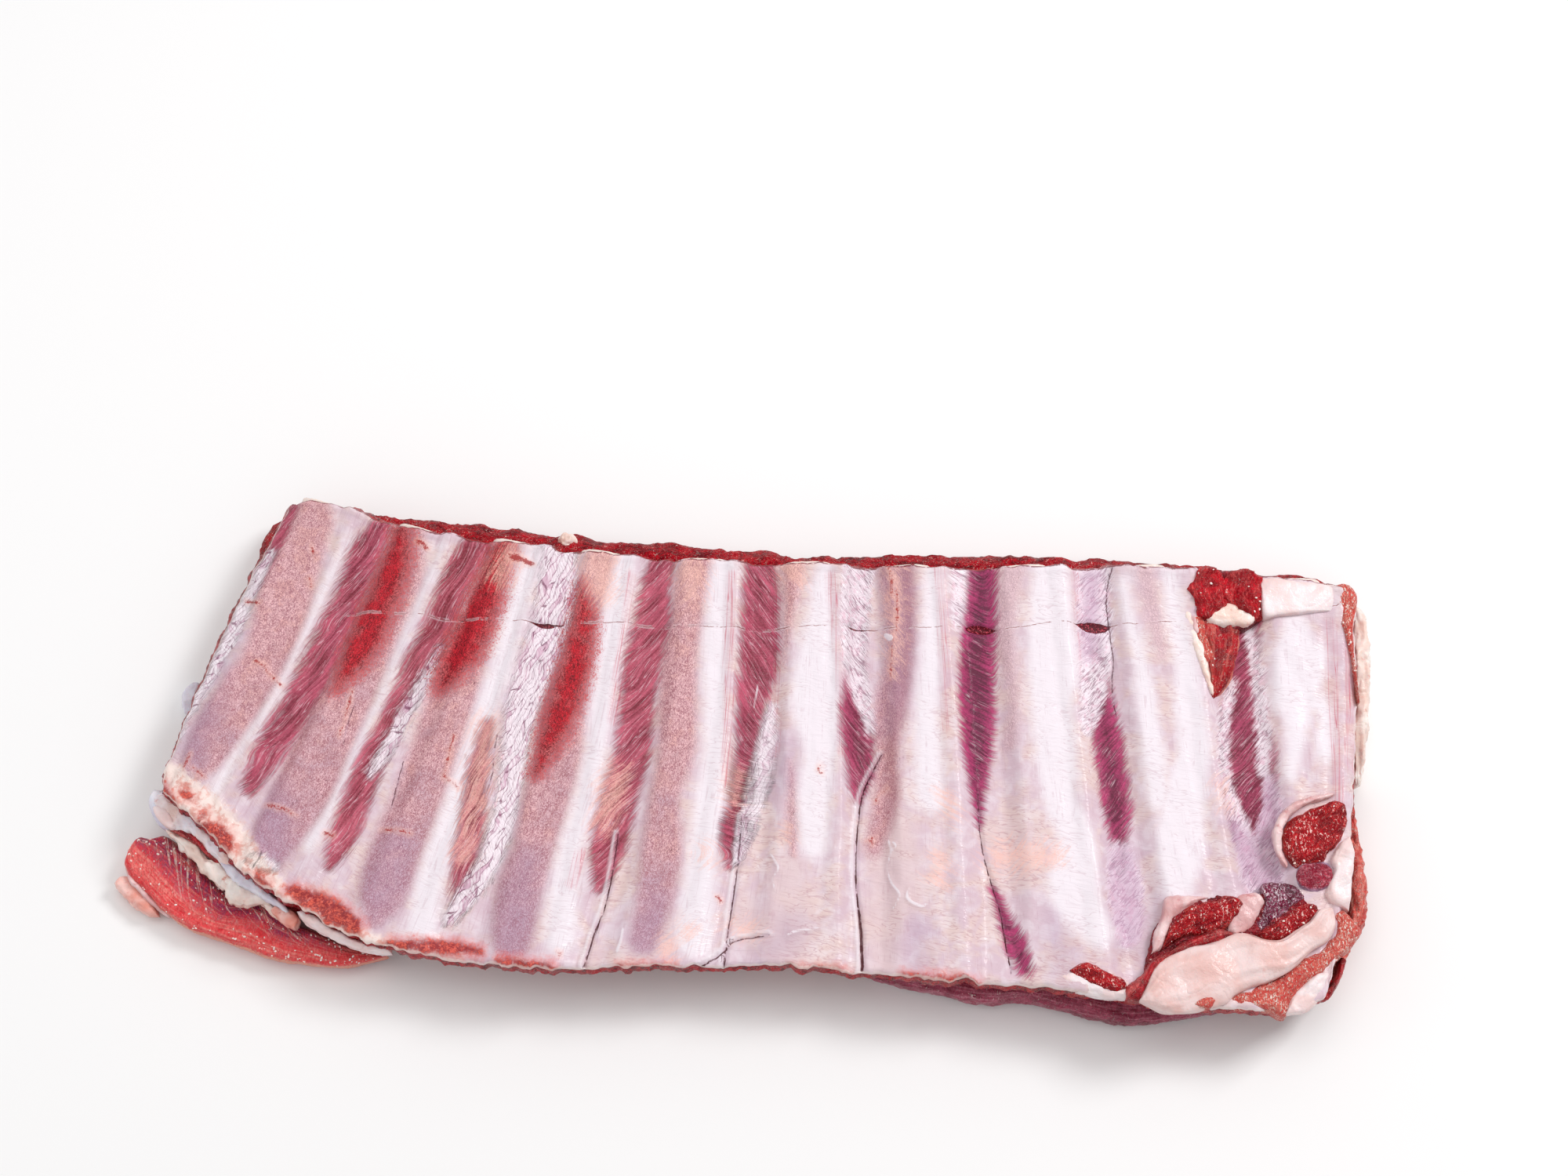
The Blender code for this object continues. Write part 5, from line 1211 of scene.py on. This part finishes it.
patches = {
    # name: node, slot, finish, bottom, top, squareness, the outline point where its far end is, outline
    "cutFlesh": ("cut_flesh", "dark_muscle", "cutMeat", 15, 23.6, 0.6, 7, [(160.3, -12.1), (160.6, -15.9),
        (159.5, -20), (157.3, -23.5), (154.8, -25.7), (153.3, -28.1), (149.4, -28.9), (145.6, -30),
        (143.7, -27.5), (142.6, -24.1), (143.1, -20), (144.7, -17), (148.3, -14.7), (153, -12.8),
        (157.2, -11.1)]),
    "cutRibEnd": ("cut_rib_end", "marrow", "marrow", 16, 23.2, 0.55, 5, [(145.4, -32), (146.2, -35),
        (148.8, -36.4), (151.9, -36.3), (154.4, -34.6), (155.4, -31.8), (154.7, -28.9), (151.3, -27.4),
        (147.6, -28.2), (145.8, -30.2)]),
    "sideFatNear": ("side_fat_near", "pale_fat", "paleFat", 15.6, 23.6, 0.5, 4, [(160.9, -20.9),
        (161.3, -25.8), (160.4, -31.6), (159.6, -37.3), (158.8, -41.2), (155.3, -39.9), (152.9, -37.7),
        (153.8, -33.9), (155.4, -30.4), (155.2, -27.5), (156.6, -24.7), (158.5, -22.3)]),
    "skirtMembrane": ("", "rib_meat", "membrane", 18, 23.4, 0.8, 5, [(105.5, -52.8), (107.7, -52.3),
        (110.1, -47.7), (112.3, -43.8), (117.1, -40), (122, -37.8), (119.3, -37.1), (114.7, -37.2),
        (110.7, -37.8), (108.8, -42.6), (106.7, -47.7)]),
    "skirtMuscle": ("skirt_muscle", "red_muscle", "cutMeat", 16, 25.2, 0.8, 6, [(108.1, -52), (111, -50.1),
        (115.1, -48.3), (119.6, -47.6), (124.7, -46.6), (128, -43.5), (130.8, -39.8), (128.2, -37.4),
        (125.9, -36.9), (123.6, -38.6), (120.2, -39.1), (116.7, -40.3), (113.6, -42.7), (110.4, -46.7)]),
    "skirtMuscleLow": ("", "red_muscle", "redMeat", 16, 24.8, 0.8, 8, [(98.5, -64.8), (101.5, -65.4),
        (103.9, -62.6), (106.1, -58.4), (110.4, -54.3), (115.6, -52), (120.8, -50.5), (125.8, -49.2),
        (128, -47.7), (125.3, -46.5), (120.8, -46.8), (115.5, -48.7), (110.7, -51.6), (105.6, -54.3),
        (102.1, -58.5), (98.2, -62.6)]),
    "skirtSheet": ("", "pale_fat", "membrane", 17, 23.6, 0.6, 4, [(125.7, -47), (129, -47.8),
        (131.6, -46.1), (134.6, -42.8), (136.6, -39), (135, -36.3), (131.7, -36.6), (128.6, -38.4),
        (127, -43.1)]),
    "skirtDark": ("", "dark_muscle", "darkSkin", 17, 22.9, 0.6, 5, [(130.4, -47.2), (133.7, -47.4),
        (137.1, -45.2), (141.3, -42.7), (145.1, -40.1), (147.6, -37.6), (144.6, -34.4), (140.1, -33.8),
        (136.1, -34.6), (136.6, -38.2), (134.4, -43.3)]),
    "skirtMuscleRight": ("skirt_muscle_right", "red_muscle", "cutMeat", 16, 24.6, 0.8, 5, [(133, -47.7),
        (136.3, -49.7), (139.4, -49.4), (143.8, -47.1), (147.7, -44.5), (150.4, -42.1), (149.7, -39.7),
        (146.1, -39.8), (142.4, -41.7), (138.2, -44.4)]),
    "skirtFat": ("skirt_fat", "pale_fat", "skirtFat", 18.4, 26.2, 0.62, 14, [(101.5, -65.2), (104.1, -66.6),
        (107.1, -68.1), (112.6, -68.7), (116.5, -68.1), (120.4, -67), (124.2, -66.1), (126.8, -63.5),
        (130.2, -62), (135.7, -60.5), (141.5, -57.6), (147.5, -52.2), (152.2, -49.3), (154.1, -45.6),
        (153.9, -40.8), (150.1, -41.2), (147.6, -44.2), (143.4, -46.8), (139, -49.1), (135.6, -49),
        (130.7, -47.4), (125.1, -48.2), (120.4, -49.9), (114.5, -51.7), (109.4, -53.8), (105.8, -57.1),
        (103.7, -61.1)]),
    "skirtEdge": ("skirt_edge", "orange_muscle", "orangeMeat", 13.5, 23.4, 0.7, 12, [(123.7, -66.2),
        (128.7, -67.2), (133.1, -67.3), (136.4, -67.9), (139.7, -69.3), (142, -65.2), (145, -61.7),
        (150, -58.4), (155.2, -54), (159.8, -50), (161.7, -46.8), (159.5, -43.5), (157.1, -40.7),
        (154.4, -42), (154.1, -47.1), (150.9, -50.5), (145, -53.8), (138.4, -58.8), (131, -61.2),
        (126.2, -62.7)]),
    "cornerFat": ("corner_fat", "pale_fat", "paleFat", 17, 23.4, 0.7, 6, [(139.7, -68.6), (141.9, -68.3),
        (144.6, -67.9), (147.3, -66.5), (149.2, -63.7), (151.4, -59.8), (152, -57.6), (149.5, -57.5),
        (144.6, -60.9), (141, -64.7)]),
    "cornerLoop": ("", "red_muscle", "redMeat", 10, 16.5, 0.8, 4, [(149.6, -63.8), (152.4, -63.7),
        (155.3, -60.5), (157.4, -57.2), (158.7, -53.2), (157.3, -52.1), (155.9, -56), (153.9, -59.4),
        (151.4, -62.2)]),
    "skirtSpot": ("", "orange_muscle", "orangeMeat", 20, 26.2, 0.8, 3, [(114.6, -66.4), (116.4, -67.6),
        (119.9, -67.2), (121.4, -65.2), (119.5, -63.6), (116.4, -64.8)]),
    "nearFat": ("near_fat", "pink_fat", "paleFat", 16.6, 23.2, 0.7, 3, [(79.4, -58.6), (85, -62.3),
        (93.1, -64.5), (99.6, -64.3), (99.4, -60.2), (93.8, -57.8), (88.3, -57.4), (83.1, -57.4)]),
    "nearSpot": ("", "red_muscle", "cutMeat", 18, 24.2, 0.8, 4, [(83.6, -57.2), (86.6, -59.6), (90, -61.6),
        (94, -62.7), (99, -62.2), (98, -59.4), (94.4, -57.4), (91.6, -56.2), (88, -55)]),
    "lumpLeft": ("lump_left", "dark_muscle", "lumpMeat", 15, 26, 0.8, 6, [(127.6, 55.8), (130.8, 54.2),
        (132.4, 50.4), (132.8, 46.2), (132.6, 43.6), (129.9, 41.8), (127, 39.8), (124.2, 40.8),
        (122.4, 44.1), (120.8, 48), (120.4, 50.4), (122.8, 52.9), (125.2, 55)]),
    "lumpRight": ("lump_right", "dark_muscle", "lumpMeat", 15, 25.6, 0.8, 5, [(137, 54.9), (140.5, 53.7),
        (142.3, 51.2), (142.1, 46.2), (141.4, 40.7), (139.3, 39.6), (136.6, 41.6), (133.6, 43.4),
        (131.2, 44.8), (130.6, 48), (131.2, 51.5), (133.7, 54.1)]),
    "lumpFat": ("lump_fat", "pink_fat", "lumpFat", 16, 24.6, 0.75, 5, [(125.6, 40.9), (128.7, 43.3),
        (132.2, 45.2), (134.3, 44.8), (137.6, 42.6), (140.4, 40.3), (137.8, 38.4), (134.3, 37.9),
        (130.9, 38), (127.3, 38.6)]),
    "lumpSkin": ("", "pale_fat", "membrane", 17, 23.4, 0.8, 4, [(120.8, 48.9), (122.7, 47.3), (124.1, 42.8),
        (124.5, 38.3), (124.7, 34.8), (122.6, 36), (121, 43.1)]),
    "wedgeFlesh": ("wedge_flesh", "dark_muscle", "wedgeMeat", 14.6, 22.8, 0.55, 8, [(127.1, 39.5),
        (130.5, 39.9), (135.6, 39.5), (135.6, 35.9), (134.9, 31.4), (133.4, 26.9), (131.4, 22.3),
        (128.9, 19), (126.4, 17.2), (125.6, 19.8), (125.2, 23.4), (124.5, 26.9), (123.5, 31.4),
        (122.7, 35.9), (122.8, 39.3)]),
    "fatBlock": ("fat_block", "pale_fat", "paleFat", 18.6, 25, 0.3, 6, [(142.1, 52.1), (146.6, 51.8),
        (152, 51), (158, 50.3), (161.4, 49.4), (161.7, 46.1), (160.9, 42.4), (157.3, 42), (151.3, 41.3),
        (145.7, 40.8), (142.1, 40.4), (141.5, 44.5), (141.5, 48.8)]),
    "cornerMeat": ("corner_meat", "dark_muscle", "orangeMeat", 16, 24.4, 0.6, 9, [(161.9, 50),
        (164.6, 50.5), (166.9, 49.9), (168, 47.4), (168.2, 43.6), (167.1, 39.9), (166.4, 35.6),
        (166.2, 31.4), (166.5, 24.1), (166.7, 16.3), (165.9, 23), (165.1, 30.4), (164, 34.6), (163.3, 38.3),
        (163.1, 42.5), (161.8, 43.6), (161.8, 46.8)]),
    "cartilageEnd": ("cartilage_end", "cartilage", "cartilage", 8.4, 16.6, 0.8, 4, [(-163.4, -6.1),
        (-159.5, -7), (-156, -10.4), (-152.6, -14.7), (-153, -17), (-156.4, -17.2), (-159.1, -17.5),
        (-163.1, -13.7), (-164.6, -9.9)]),
    "cartilageOval": ("", "cartilage", "paleFat", 12, 17.2, 0.6, 4, [(-162.9, -11.6), (-161.6, -11.2),
        (-159, -11.8), (-156.6, -14.7), (-155.4, -17.8), (-156.9, -17.9), (-159.6, -16.4), (-161.8, -14)]),
    "tornFat": ("torn_fat", "pale_fat", "tornFat", 9.6, 15.2, 0.8, 8, [(-159.4, -17), (-155.2, -18.6),
        (-151.7, -20.4), (-147.2, -24.8), (-143.5, -27), (-140, -28.8), (-135.4, -31.8), (-130.9, -35.2),
        (-129, -37.9), (-132.2, -37.8), (-135, -38.5), (-137.8, -37.9), (-140.8, -36.7), (-141.7, -33.8),
        (-144.7, -32.3), (-147, -30.2), (-149.4, -27.3), (-152.6, -24.4), (-155.7, -21.5), (-157.9, -19)]),
    "tornRed": ("", "marrow", "redMeat", 11, 15.8, 0.8, 5, [(-158, -17.8), (-154.9, -16.8), (-151.9, -18.2),
        (-149.2, -20.9), (-146, -24.1), (-142.7, -27.4), (-144.4, -27), (-147.4, -24.6), (-150.9, -21.4),
        (-153.9, -19.8)]),
    "cartilageEdge": ("cartilage_edge", "cartilage", "cartilage", 10.2, 17.2, 0.7, 7, [(-143.8, -26.4),
        (-140.7, -30.4), (-137.8, -33.1), (-133.3, -35.2), (-129.8, -37.3), (-126.9, -39), (-123.9, -41.4),
        (-121.3, -43.4), (-123.1, -40.2), (-126, -37.4), (-129, -34.7), (-131.9, -31.9), (-134.8, -29.7),
        (-138.2, -28.2), (-141, -27.1)]),
    "tornLump": ("", "pale_fat", "tornFat", 9.4, 14, 0.85, 6, [(-142.2, -34.4), (-140.5, -36.3),
        (-137.6, -38.2), (-134.1, -36.7), (-129.4, -40), (-126.2, -42.4), (-122.7, -44.5), (-124.2, -41.9),
        (-126.8, -39.4), (-129.6, -37.2), (-133, -35.9), (-136.5, -33.5), (-139.8, -32.7)]),
    "tornPink": ("", "pink_fat", "pinkFat", 10, 16.4, 0.85, 4, [(-128.7, -39.7), (-127.2, -41.7),
        (-124.9, -43.1), (-123.3, -43.9), (-121.8, -44.7), (-121.2, -41.9), (-121.9, -40.3),
        (-124.8, -38.7), (-127.2, -38.3)]),
    "edgeBand": ("", "pale_fat", "paleFat", 12, 18.6, 0.85, 5, [(-121.3, -40.4), (-117.8, -44.3),
        (-112.7, -47), (-106.6, -49.7), (-100.6, -51.3), (-95.2, -51.7), (-95.9, -50.1), (-101.9, -48.8),
        (-107.4, -46.6), (-113, -43.6), (-117.5, -40.4)]),
    "flapMuscle": ("flap_muscle", "red_muscle", "flapMeat", 0, 8.6, 0.6, 17, [(-169.6, -18.4),
        (-168, -17.6), (-165.1, -18), (-161.2, -17.2), (-157.4, -19.6), (-153.2, -23.8), (-149.2, -28.2),
        (-144.6, -31.9), (-140.6, -35.5), (-136.6, -35.1), (-132.2, -36.2), (-127.6, -39.8),
        (-123.5, -41.9), (-119.5, -43.4), (-115, -45.2), (-110, -47.4), (-104.2, -49.2), (-98.2, -50.3),
        (-103.5, -51.9), (-107.7, -52.9), (-114, -53.1), (-120.5, -52.3), (-126.2, -51.6), (-131.3, -50.3),
        (-135.7, -48.4), (-141.6, -46.9), (-147.5, -44.8), (-152.6, -43), (-157.9, -39.8), (-162.6, -36.1),
        (-167.4, -31.4), (-170.6, -27.8), (-171.4, -25.6), (-171, -21.9)]),
    "skirtBed": ("", "dark_muscle", "bedMeat", 16, 22.4, 0.5, 10, [(103.6, -57.5), (105.3, -50.5),
        (108.6, -43.5), (112.6, -39.4), (118.6, -37.6), (126, -36.4), (131.4, -37), (137, -36.4),
        (142, -35.6), (147, -37), (150.2, -40.4), (148.2, -44.8), (142.6, -49), (135, -50.5), (125, -49.5),
        (117, -50.8), (109.5, -54.6)]),
    "lumpBed": ("", "dark_muscle", "bedMeat", 16, 22.9, 0.5, 4, [(122.6, 53.6), (130, 55.2), (138, 54.4),
        (141.6, 50), (142, 40.6), (136, 37.4), (127, 38), (122.4, 41), (120.6, 47.6)]),
    "tornBand": ("", "pale_fat", "tornSkin", 12, 17.4, 0.7, 7, [(-163, -9.6), (-161, -7.4), (-157, -8.2),
        (-153, -11.6), (-149.4, -15.4), (-145.6, -19.6), (-141.6, -23.8), (-137.4, -28.6), (-141.3, -28.2),
        (-145.2, -25), (-149.1, -21), (-152.1, -18.4), (-155.6, -18), (-159.4, -15.8), (-161.8, -12.6)]),
    "flapFat": ("flap_fat", "pink_fat", "pinkFat", 0, 5.4, 0.8, 5, [(-174.8, -30), (-173.2, -32.8),
        (-170.6, -35.4), (-167.4, -37.6), (-164, -38.8), (-161.8, -39), (-163, -36.4), (-165.4, -33.2),
        (-168, -30.4), (-170.4, -28.4), (-173, -28.2)]),
}
fleshShape = {
    # lump, fine and crease are heights in mm
    "around": 56, "stripSquareness": 0.75, "lump": 0.5, "lumpSize": 6.0, "fine": 0.25, "fineSize": 1.6,
    "crease": 0.15, "creaseSize": 3.0,
}
pieceShape = {
    "skirtFat": {"lump": 0.6, "lumpSize": 11.0, "fine": 0.1, "crease": 0.7, "creaseSize": 4.4},
    "skirtBed": {"lump": 0.4, "fine": 0.4, "fineSize": 1.4},
    "lumpBed": {"lump": 0.4, "fine": 0.4, "fineSize": 1.4},
    "sideFat": {"lump": 1.0, "lumpSize": 7.0, "fine": 0.4, "crease": 0.7},
    "sideMeat": {"lump": 0.6, "lumpSize": 4.0, "fine": 0.5, "crease": 0.8, "creaseSize": 1.8},
    "tornBand": {"lump": 0.6, "lumpSize": 3.0, "fine": 0.4},
    "farScrap": {"lump": 0.8, "lumpSize": 2.0, "fine": 0.6},
    "flapMuscle": {"lumpSize": 9.0, "fine": 0.15, "crease": 0.3, "creaseSize": 2.4},
    "fatBlock": {"lump": 0.15, "fine": 0.1, "crease": 0.1},
    "cartilageOval": {"lump": 0.05, "fine": 0.03, "crease": 0.0},
    "cartilageEnd": {"lump": 0.2, "fine": 0.1, "crease": 0.0},
    "lumpLeft": {"lump": 1.3, "lumpSize": 4.0, "fine": 0.6, "fineSize": 1.4, "crease": 0.5,
                 "creaseSize": 2.2},
    "lumpRight": {"lump": 1.5, "lumpSize": 4.0, "fine": 0.6, "fineSize": 1.4, "crease": 0.5,
                  "creaseSize": 2.2},
    "tornFat": {"lump": 0.9, "lumpSize": 3.5, "fine": 0.5},
    "tornLump": {"lump": 0.9, "lumpSize": 3.5, "fine": 0.4},
    "wedgeFlesh": {"crease": 0.7, "creaseSize": 2.0}, "cutFlesh": {"fine": 0.4, "fineSize": 1.2},
    "skirtMuscle": {"fine": 0.4, "fineSize": 1.2, "crease": 0.5},
    "skirtMuscleRight": {"fine": 0.35, "fineSize": 1.2, "crease": 0.4},
}


def outlineSides(points, split, count):
    # the two ways round a closed outline from its first point to point number split
    return smoothThrough(points[:split + 1], count), smoothThrough([points[0]] + points[:split - 1:-1], count)


def pathSides(rows, count):
    # both sides of a path of (x, y, half width, bottom, top), rounded off at its ends
    path = smoothThrough(rows, count)
    heading = np.gradient(path[:, :2], axis=0)
    heading /= np.linalg.norm(heading, axis=1)[:, None]
    across = np.stack([heading[:, 1], -heading[:, 0]], -1)
    length = np.sum(np.linalg.norm(np.diff(path[:, :2], axis=0), axis=1))
    ends = np.clip((1 - np.abs(np.linspace(-1, 1, count))) * 0.5 * length / max(path[:, 2].mean(), 1), 0, 1)
    wide = (path[:, 2] * (np.sqrt(np.maximum(1 - (1 - ends) ** 2, 0)) * 0.96 + 0.04))[:, None]
    return path[:, :2] - across * wide, path[:, :2] + across * wide, path[:, 3], path[:, 4]


def makeFlesh(name, node, slot, finish, left, right, low, high, square):
    # a superellipse ring between two sides, low and high: middle + half cos^s t across, middle + half sin^s t
    # up; then every point is moved out by lumps and fine noise
    shape = {**fleshShape, **pieceShape.get(name, {})}
    count = len(left)
    middle = (left + right) / 2
    half = (left - right) / 2
    width = np.linalg.norm(half, axis=1)
    taper = np.clip(width / (0.6 * width.max() + 1e-6), 0.0, 1) ** 0.6
    level = np.broadcast_to((low + high) / 2, (count,))
    rise = np.broadcast_to((high - low) / 2, (count,)) * (0.4 + 0.6 * taper)
    turn = np.linspace(0, 2 * np.pi, shape["around"], endpoint=False)
    across = signedPower(np.cos(turn), square)
    ring = np.zeros((count, len(turn), 3))
    ring[..., :2] = middle[:, None] + half[:, None] * across[:, None]
    ring[..., 2] = level[:, None] + rise[:, None] * signedPower(np.sin(turn), square)
    outward = np.zeros(ring.shape)
    outward[..., :2] = (half / (width[:, None] + 1e-6))[:, None] * np.cos(turn)[:, None]
    outward[..., 2] = np.sin(turn)
    length = lengthAlong(middle)
    seed = 11.0 * (sum(map(ord, name)) % 37)
    girth = across * width.mean()
    creased = noise(flat(girth[None] * 1.2, length[:, None] * 0.22, seed), shape["creaseSize"], 2)
    push = shape["lump"] * noise(ring + seed, shape["lumpSize"],
                                 2) + shape["fine"] * noise(ring + seed, shape["fineSize"], 3)
    push = push + shape["crease"] * (0.4 - 2.2 * np.abs(creased)) * np.clip(np.sin(turn), 0, 1)
    grounded = step(0.0, 1.5, ring[..., 2])  # a piece that lies on the table keeps its flat underside
    ring = ring + outward * (push * grounded * (0.3 + 0.7 * taper[:, None]))[..., None]
    ring[..., 2] = np.maximum(ring[..., 2], 0.0)
    points = np.concatenate([ring.reshape(-1, 3), [ring[0].mean(0), ring[-1].mean(0)]])
    along = np.stack(np.broadcast_arrays(girth[None], length[:, None]), -1).reshape(-1, 2)
    along = np.concatenate([along, [[0, 0], [0, length[-1]]]])
    side = np.tile(np.cos(turn), (count, 1))
    fields = {
        "core": np.concatenate([np.maximum(np.abs(side), 1 - taper[:, None] * 0.999).reshape(-1),
                                [1.0, 1.0]]),
        "side": np.concatenate([side.reshape(-1), [0.0, 0.0]]),
    }
    makePiece(name, points, tubeFaces(count, len(turn)), finishes[finish], node, fields,
              {"along": along})
    return ring


rings = {}
for name, (node, slot, finish, rows) in strips.items():
    count = max(int(1.6 * math.dist(rows[0][:2], rows[-1][:2])), 18)
    rings[name] = makeFlesh(name, node, slot, finish, *pathSides(rows, count), fleshShape["stripSquareness"])
for name, (node, slot, finish, low, high, square, split, points) in patches.items():
    count = max(int(1.8 * math.dist(points[0], points[split])), 22)
    rings[name] = makeFlesh(name, node, slot, finish, *outlineSides(points, split, count), low, high, square)
print("strips and patches made")

# beads of fat on the cut meat
beads = {
    # piece: how many, from which sin of the turn up, size in mm
    "flapMuscle": (150, 0.45, 0.24), "cutFlesh": (6, 0.6, 0.24), "skirtMuscle": (5, 0.5, 0.24),
    "skirtMuscleRight": (6, 0.5, 0.26), "skirtEdge": (8, 0.4, 0.24), "lumpLeft": (4, 0.6, 0.3),
    "lumpRight": (8, 0.5, 0.28), "wedgeFlesh": (8, 0.5, 0.26), "skirtDark": (6, 0.5, 0.26),
    "cornerMeat": (10, 0.4, 0.26),
}


def makeBeads(name, centres, sizes, turns, material):
    # ellipsoids of 8 x 5 points, each stretched along a line turned about z and sunk by half
    ring = np.linspace(0, 2 * np.pi, 8, endpoint=False)
    rise = np.linspace(0.25, 2.9, 5)
    ball = np.stack([np.outer(np.sin(rise), np.cos(ring)) * 1.5, np.outer(np.sin(rise), np.sin(ring)),
                     np.outer(np.cos(rise), np.ones(8)) * 0.7], -1).reshape(-1, 3)
    ball = np.concatenate([ball, [[0, 0, 0.7], [0, 0, -0.7]]])
    quads = gridFaces(5, 8, True)
    faces = np.concatenate([quads[:, [0, 1, 2]], quads[:, [0, 2, 3]], fanFaces(np.arange(8), 40),
                            fanFaces(np.arange(32, 40), 41)])
    cosine, sine = np.cos(turns)[:, None], np.sin(turns)[:, None]
    spun = np.stack([ball[:, 0] * cosine - ball[:, 1] * sine, ball[:, 0] * sine + ball[:, 1] * cosine,
                     np.broadcast_to(ball[:, 2], (len(turns), len(ball)))], -1)
    points = (centres[:, None] + spun * sizes[:, None, None]).reshape(-1, 3)
    every = (faces[None] + (np.arange(len(centres)) * len(ball))[:, None, None]).reshape(-1, 3)
    makePiece(name, points, [every], material)


def scatterBeads(material):
    centres, sizes = [], []
    for name, (count, lowest, size) in beads.items():
        ring = rings[name]
        turn = np.linspace(0, 2 * np.pi, ring.shape[1], endpoint=False)
        allowed = np.flatnonzero(np.sin(turn) > lowest)
        row = randomDraws.integers(2, len(ring) - 2, count)
        centres.append(ring[row, allowed[randomDraws.integers(0, len(allowed), count)]])
        sizes.append(size * randomDraws.uniform(0.5, 1.3, count))
    centres, sizes = np.concatenate(centres), np.concatenate(sizes)
    makeBeads("fatBeads", centres, sizes, randomDraws.uniform(0, 3.1, len(sizes)), material)


scatterBeads(finishes["beadFat"])
print("beads made")

# floor, light and camera
studio = {
    "floor": (247, 246, 246), "floorHalf": 4, "floorLevel": -0.0004, "sky": (255, 255, 255),
    "skyStrength": 0.52,
    "lights": {
        # name: place and aim in metres, size in metres, watts
        "keyPanel": ((0.92, 0.53, 1.1), (0, 0, 0), (0.42, 0.42), 11.2),
        "topPanel": ((-0.1, 0.25, 1.1), (0, 0, 0), (0.9, 0.5), 2.8),
        "leftPanel": ((-0.8, -0.1, 0.5), (-0.05, 0, 0), (0.4, 0.6), 0.8),
    },
    "camera": {"lens": 50, "sensor": 36, "place": (0.01002, -0.16362, 0.5932), "tilt": 20},
}


def added(name, data):
    thing = bpy.data.objects.new(name, data)
    bpy.context.scene.collection.objects.link(thing)
    return thing


def makeStudio():
    half, level = studio["floorHalf"], studio["floorLevel"]
    floorMesh = bpy.data.meshes.new("floor")
    corners = [(-half, -half, level), (half, -half, level), (half, half, level), (-half, half, level)]
    floorMesh.from_pydata(corners, [], [(0, 1, 2, 3)])
    material = bpy.data.materials.new("paleTable")
    material.use_nodes = True
    shader = material.node_tree.nodes["Principled BSDF"]
    shader.inputs["Base Color"].default_value = linear(*studio["floor"])
    shader.inputs["Roughness"].default_value = 0.9
    shader.inputs["Specular IOR Level"].default_value = 0.1
    floorMesh.materials.append(material)
    floor = added("floor", floorMesh)
    for name, (place, target, size, watts) in studio["lights"].items():
        light = bpy.data.lights.new(name, "AREA")
        light.shape = "RECTANGLE"
        light.size, light.size_y = size
        light.energy = watts
        lamp = added(name, light)
        lamp.location = place
        lamp.rotation_euler = (Vector(target) - Vector(place)).to_track_quat("-Z", "Y").to_euler()
    world = bpy.data.worlds.new("studio")
    world.use_nodes = True
    world.node_tree.nodes["Background"].inputs["Color"].default_value = linear(*studio["sky"])
    world.node_tree.nodes["Background"].inputs["Strength"].default_value = studio["skyStrength"]
    bpy.context.scene.world = world


def makeCamera(settings):
    lens = bpy.data.cameras.new("camera")
    lens.lens = settings["lens"]
    lens.sensor_width = settings["sensor"]
    lens.clip_start = 0.01
    camera = added("camera", lens)
    camera.location = settings["place"]
    camera.rotation_euler = (math.radians(settings["tilt"]), 0, 0)
    bpy.context.scene.camera = camera


makeStudio()
makeCamera(studio["camera"])
bpy.context.scene.view_settings.view_transform = "Standard"
print("studio made")
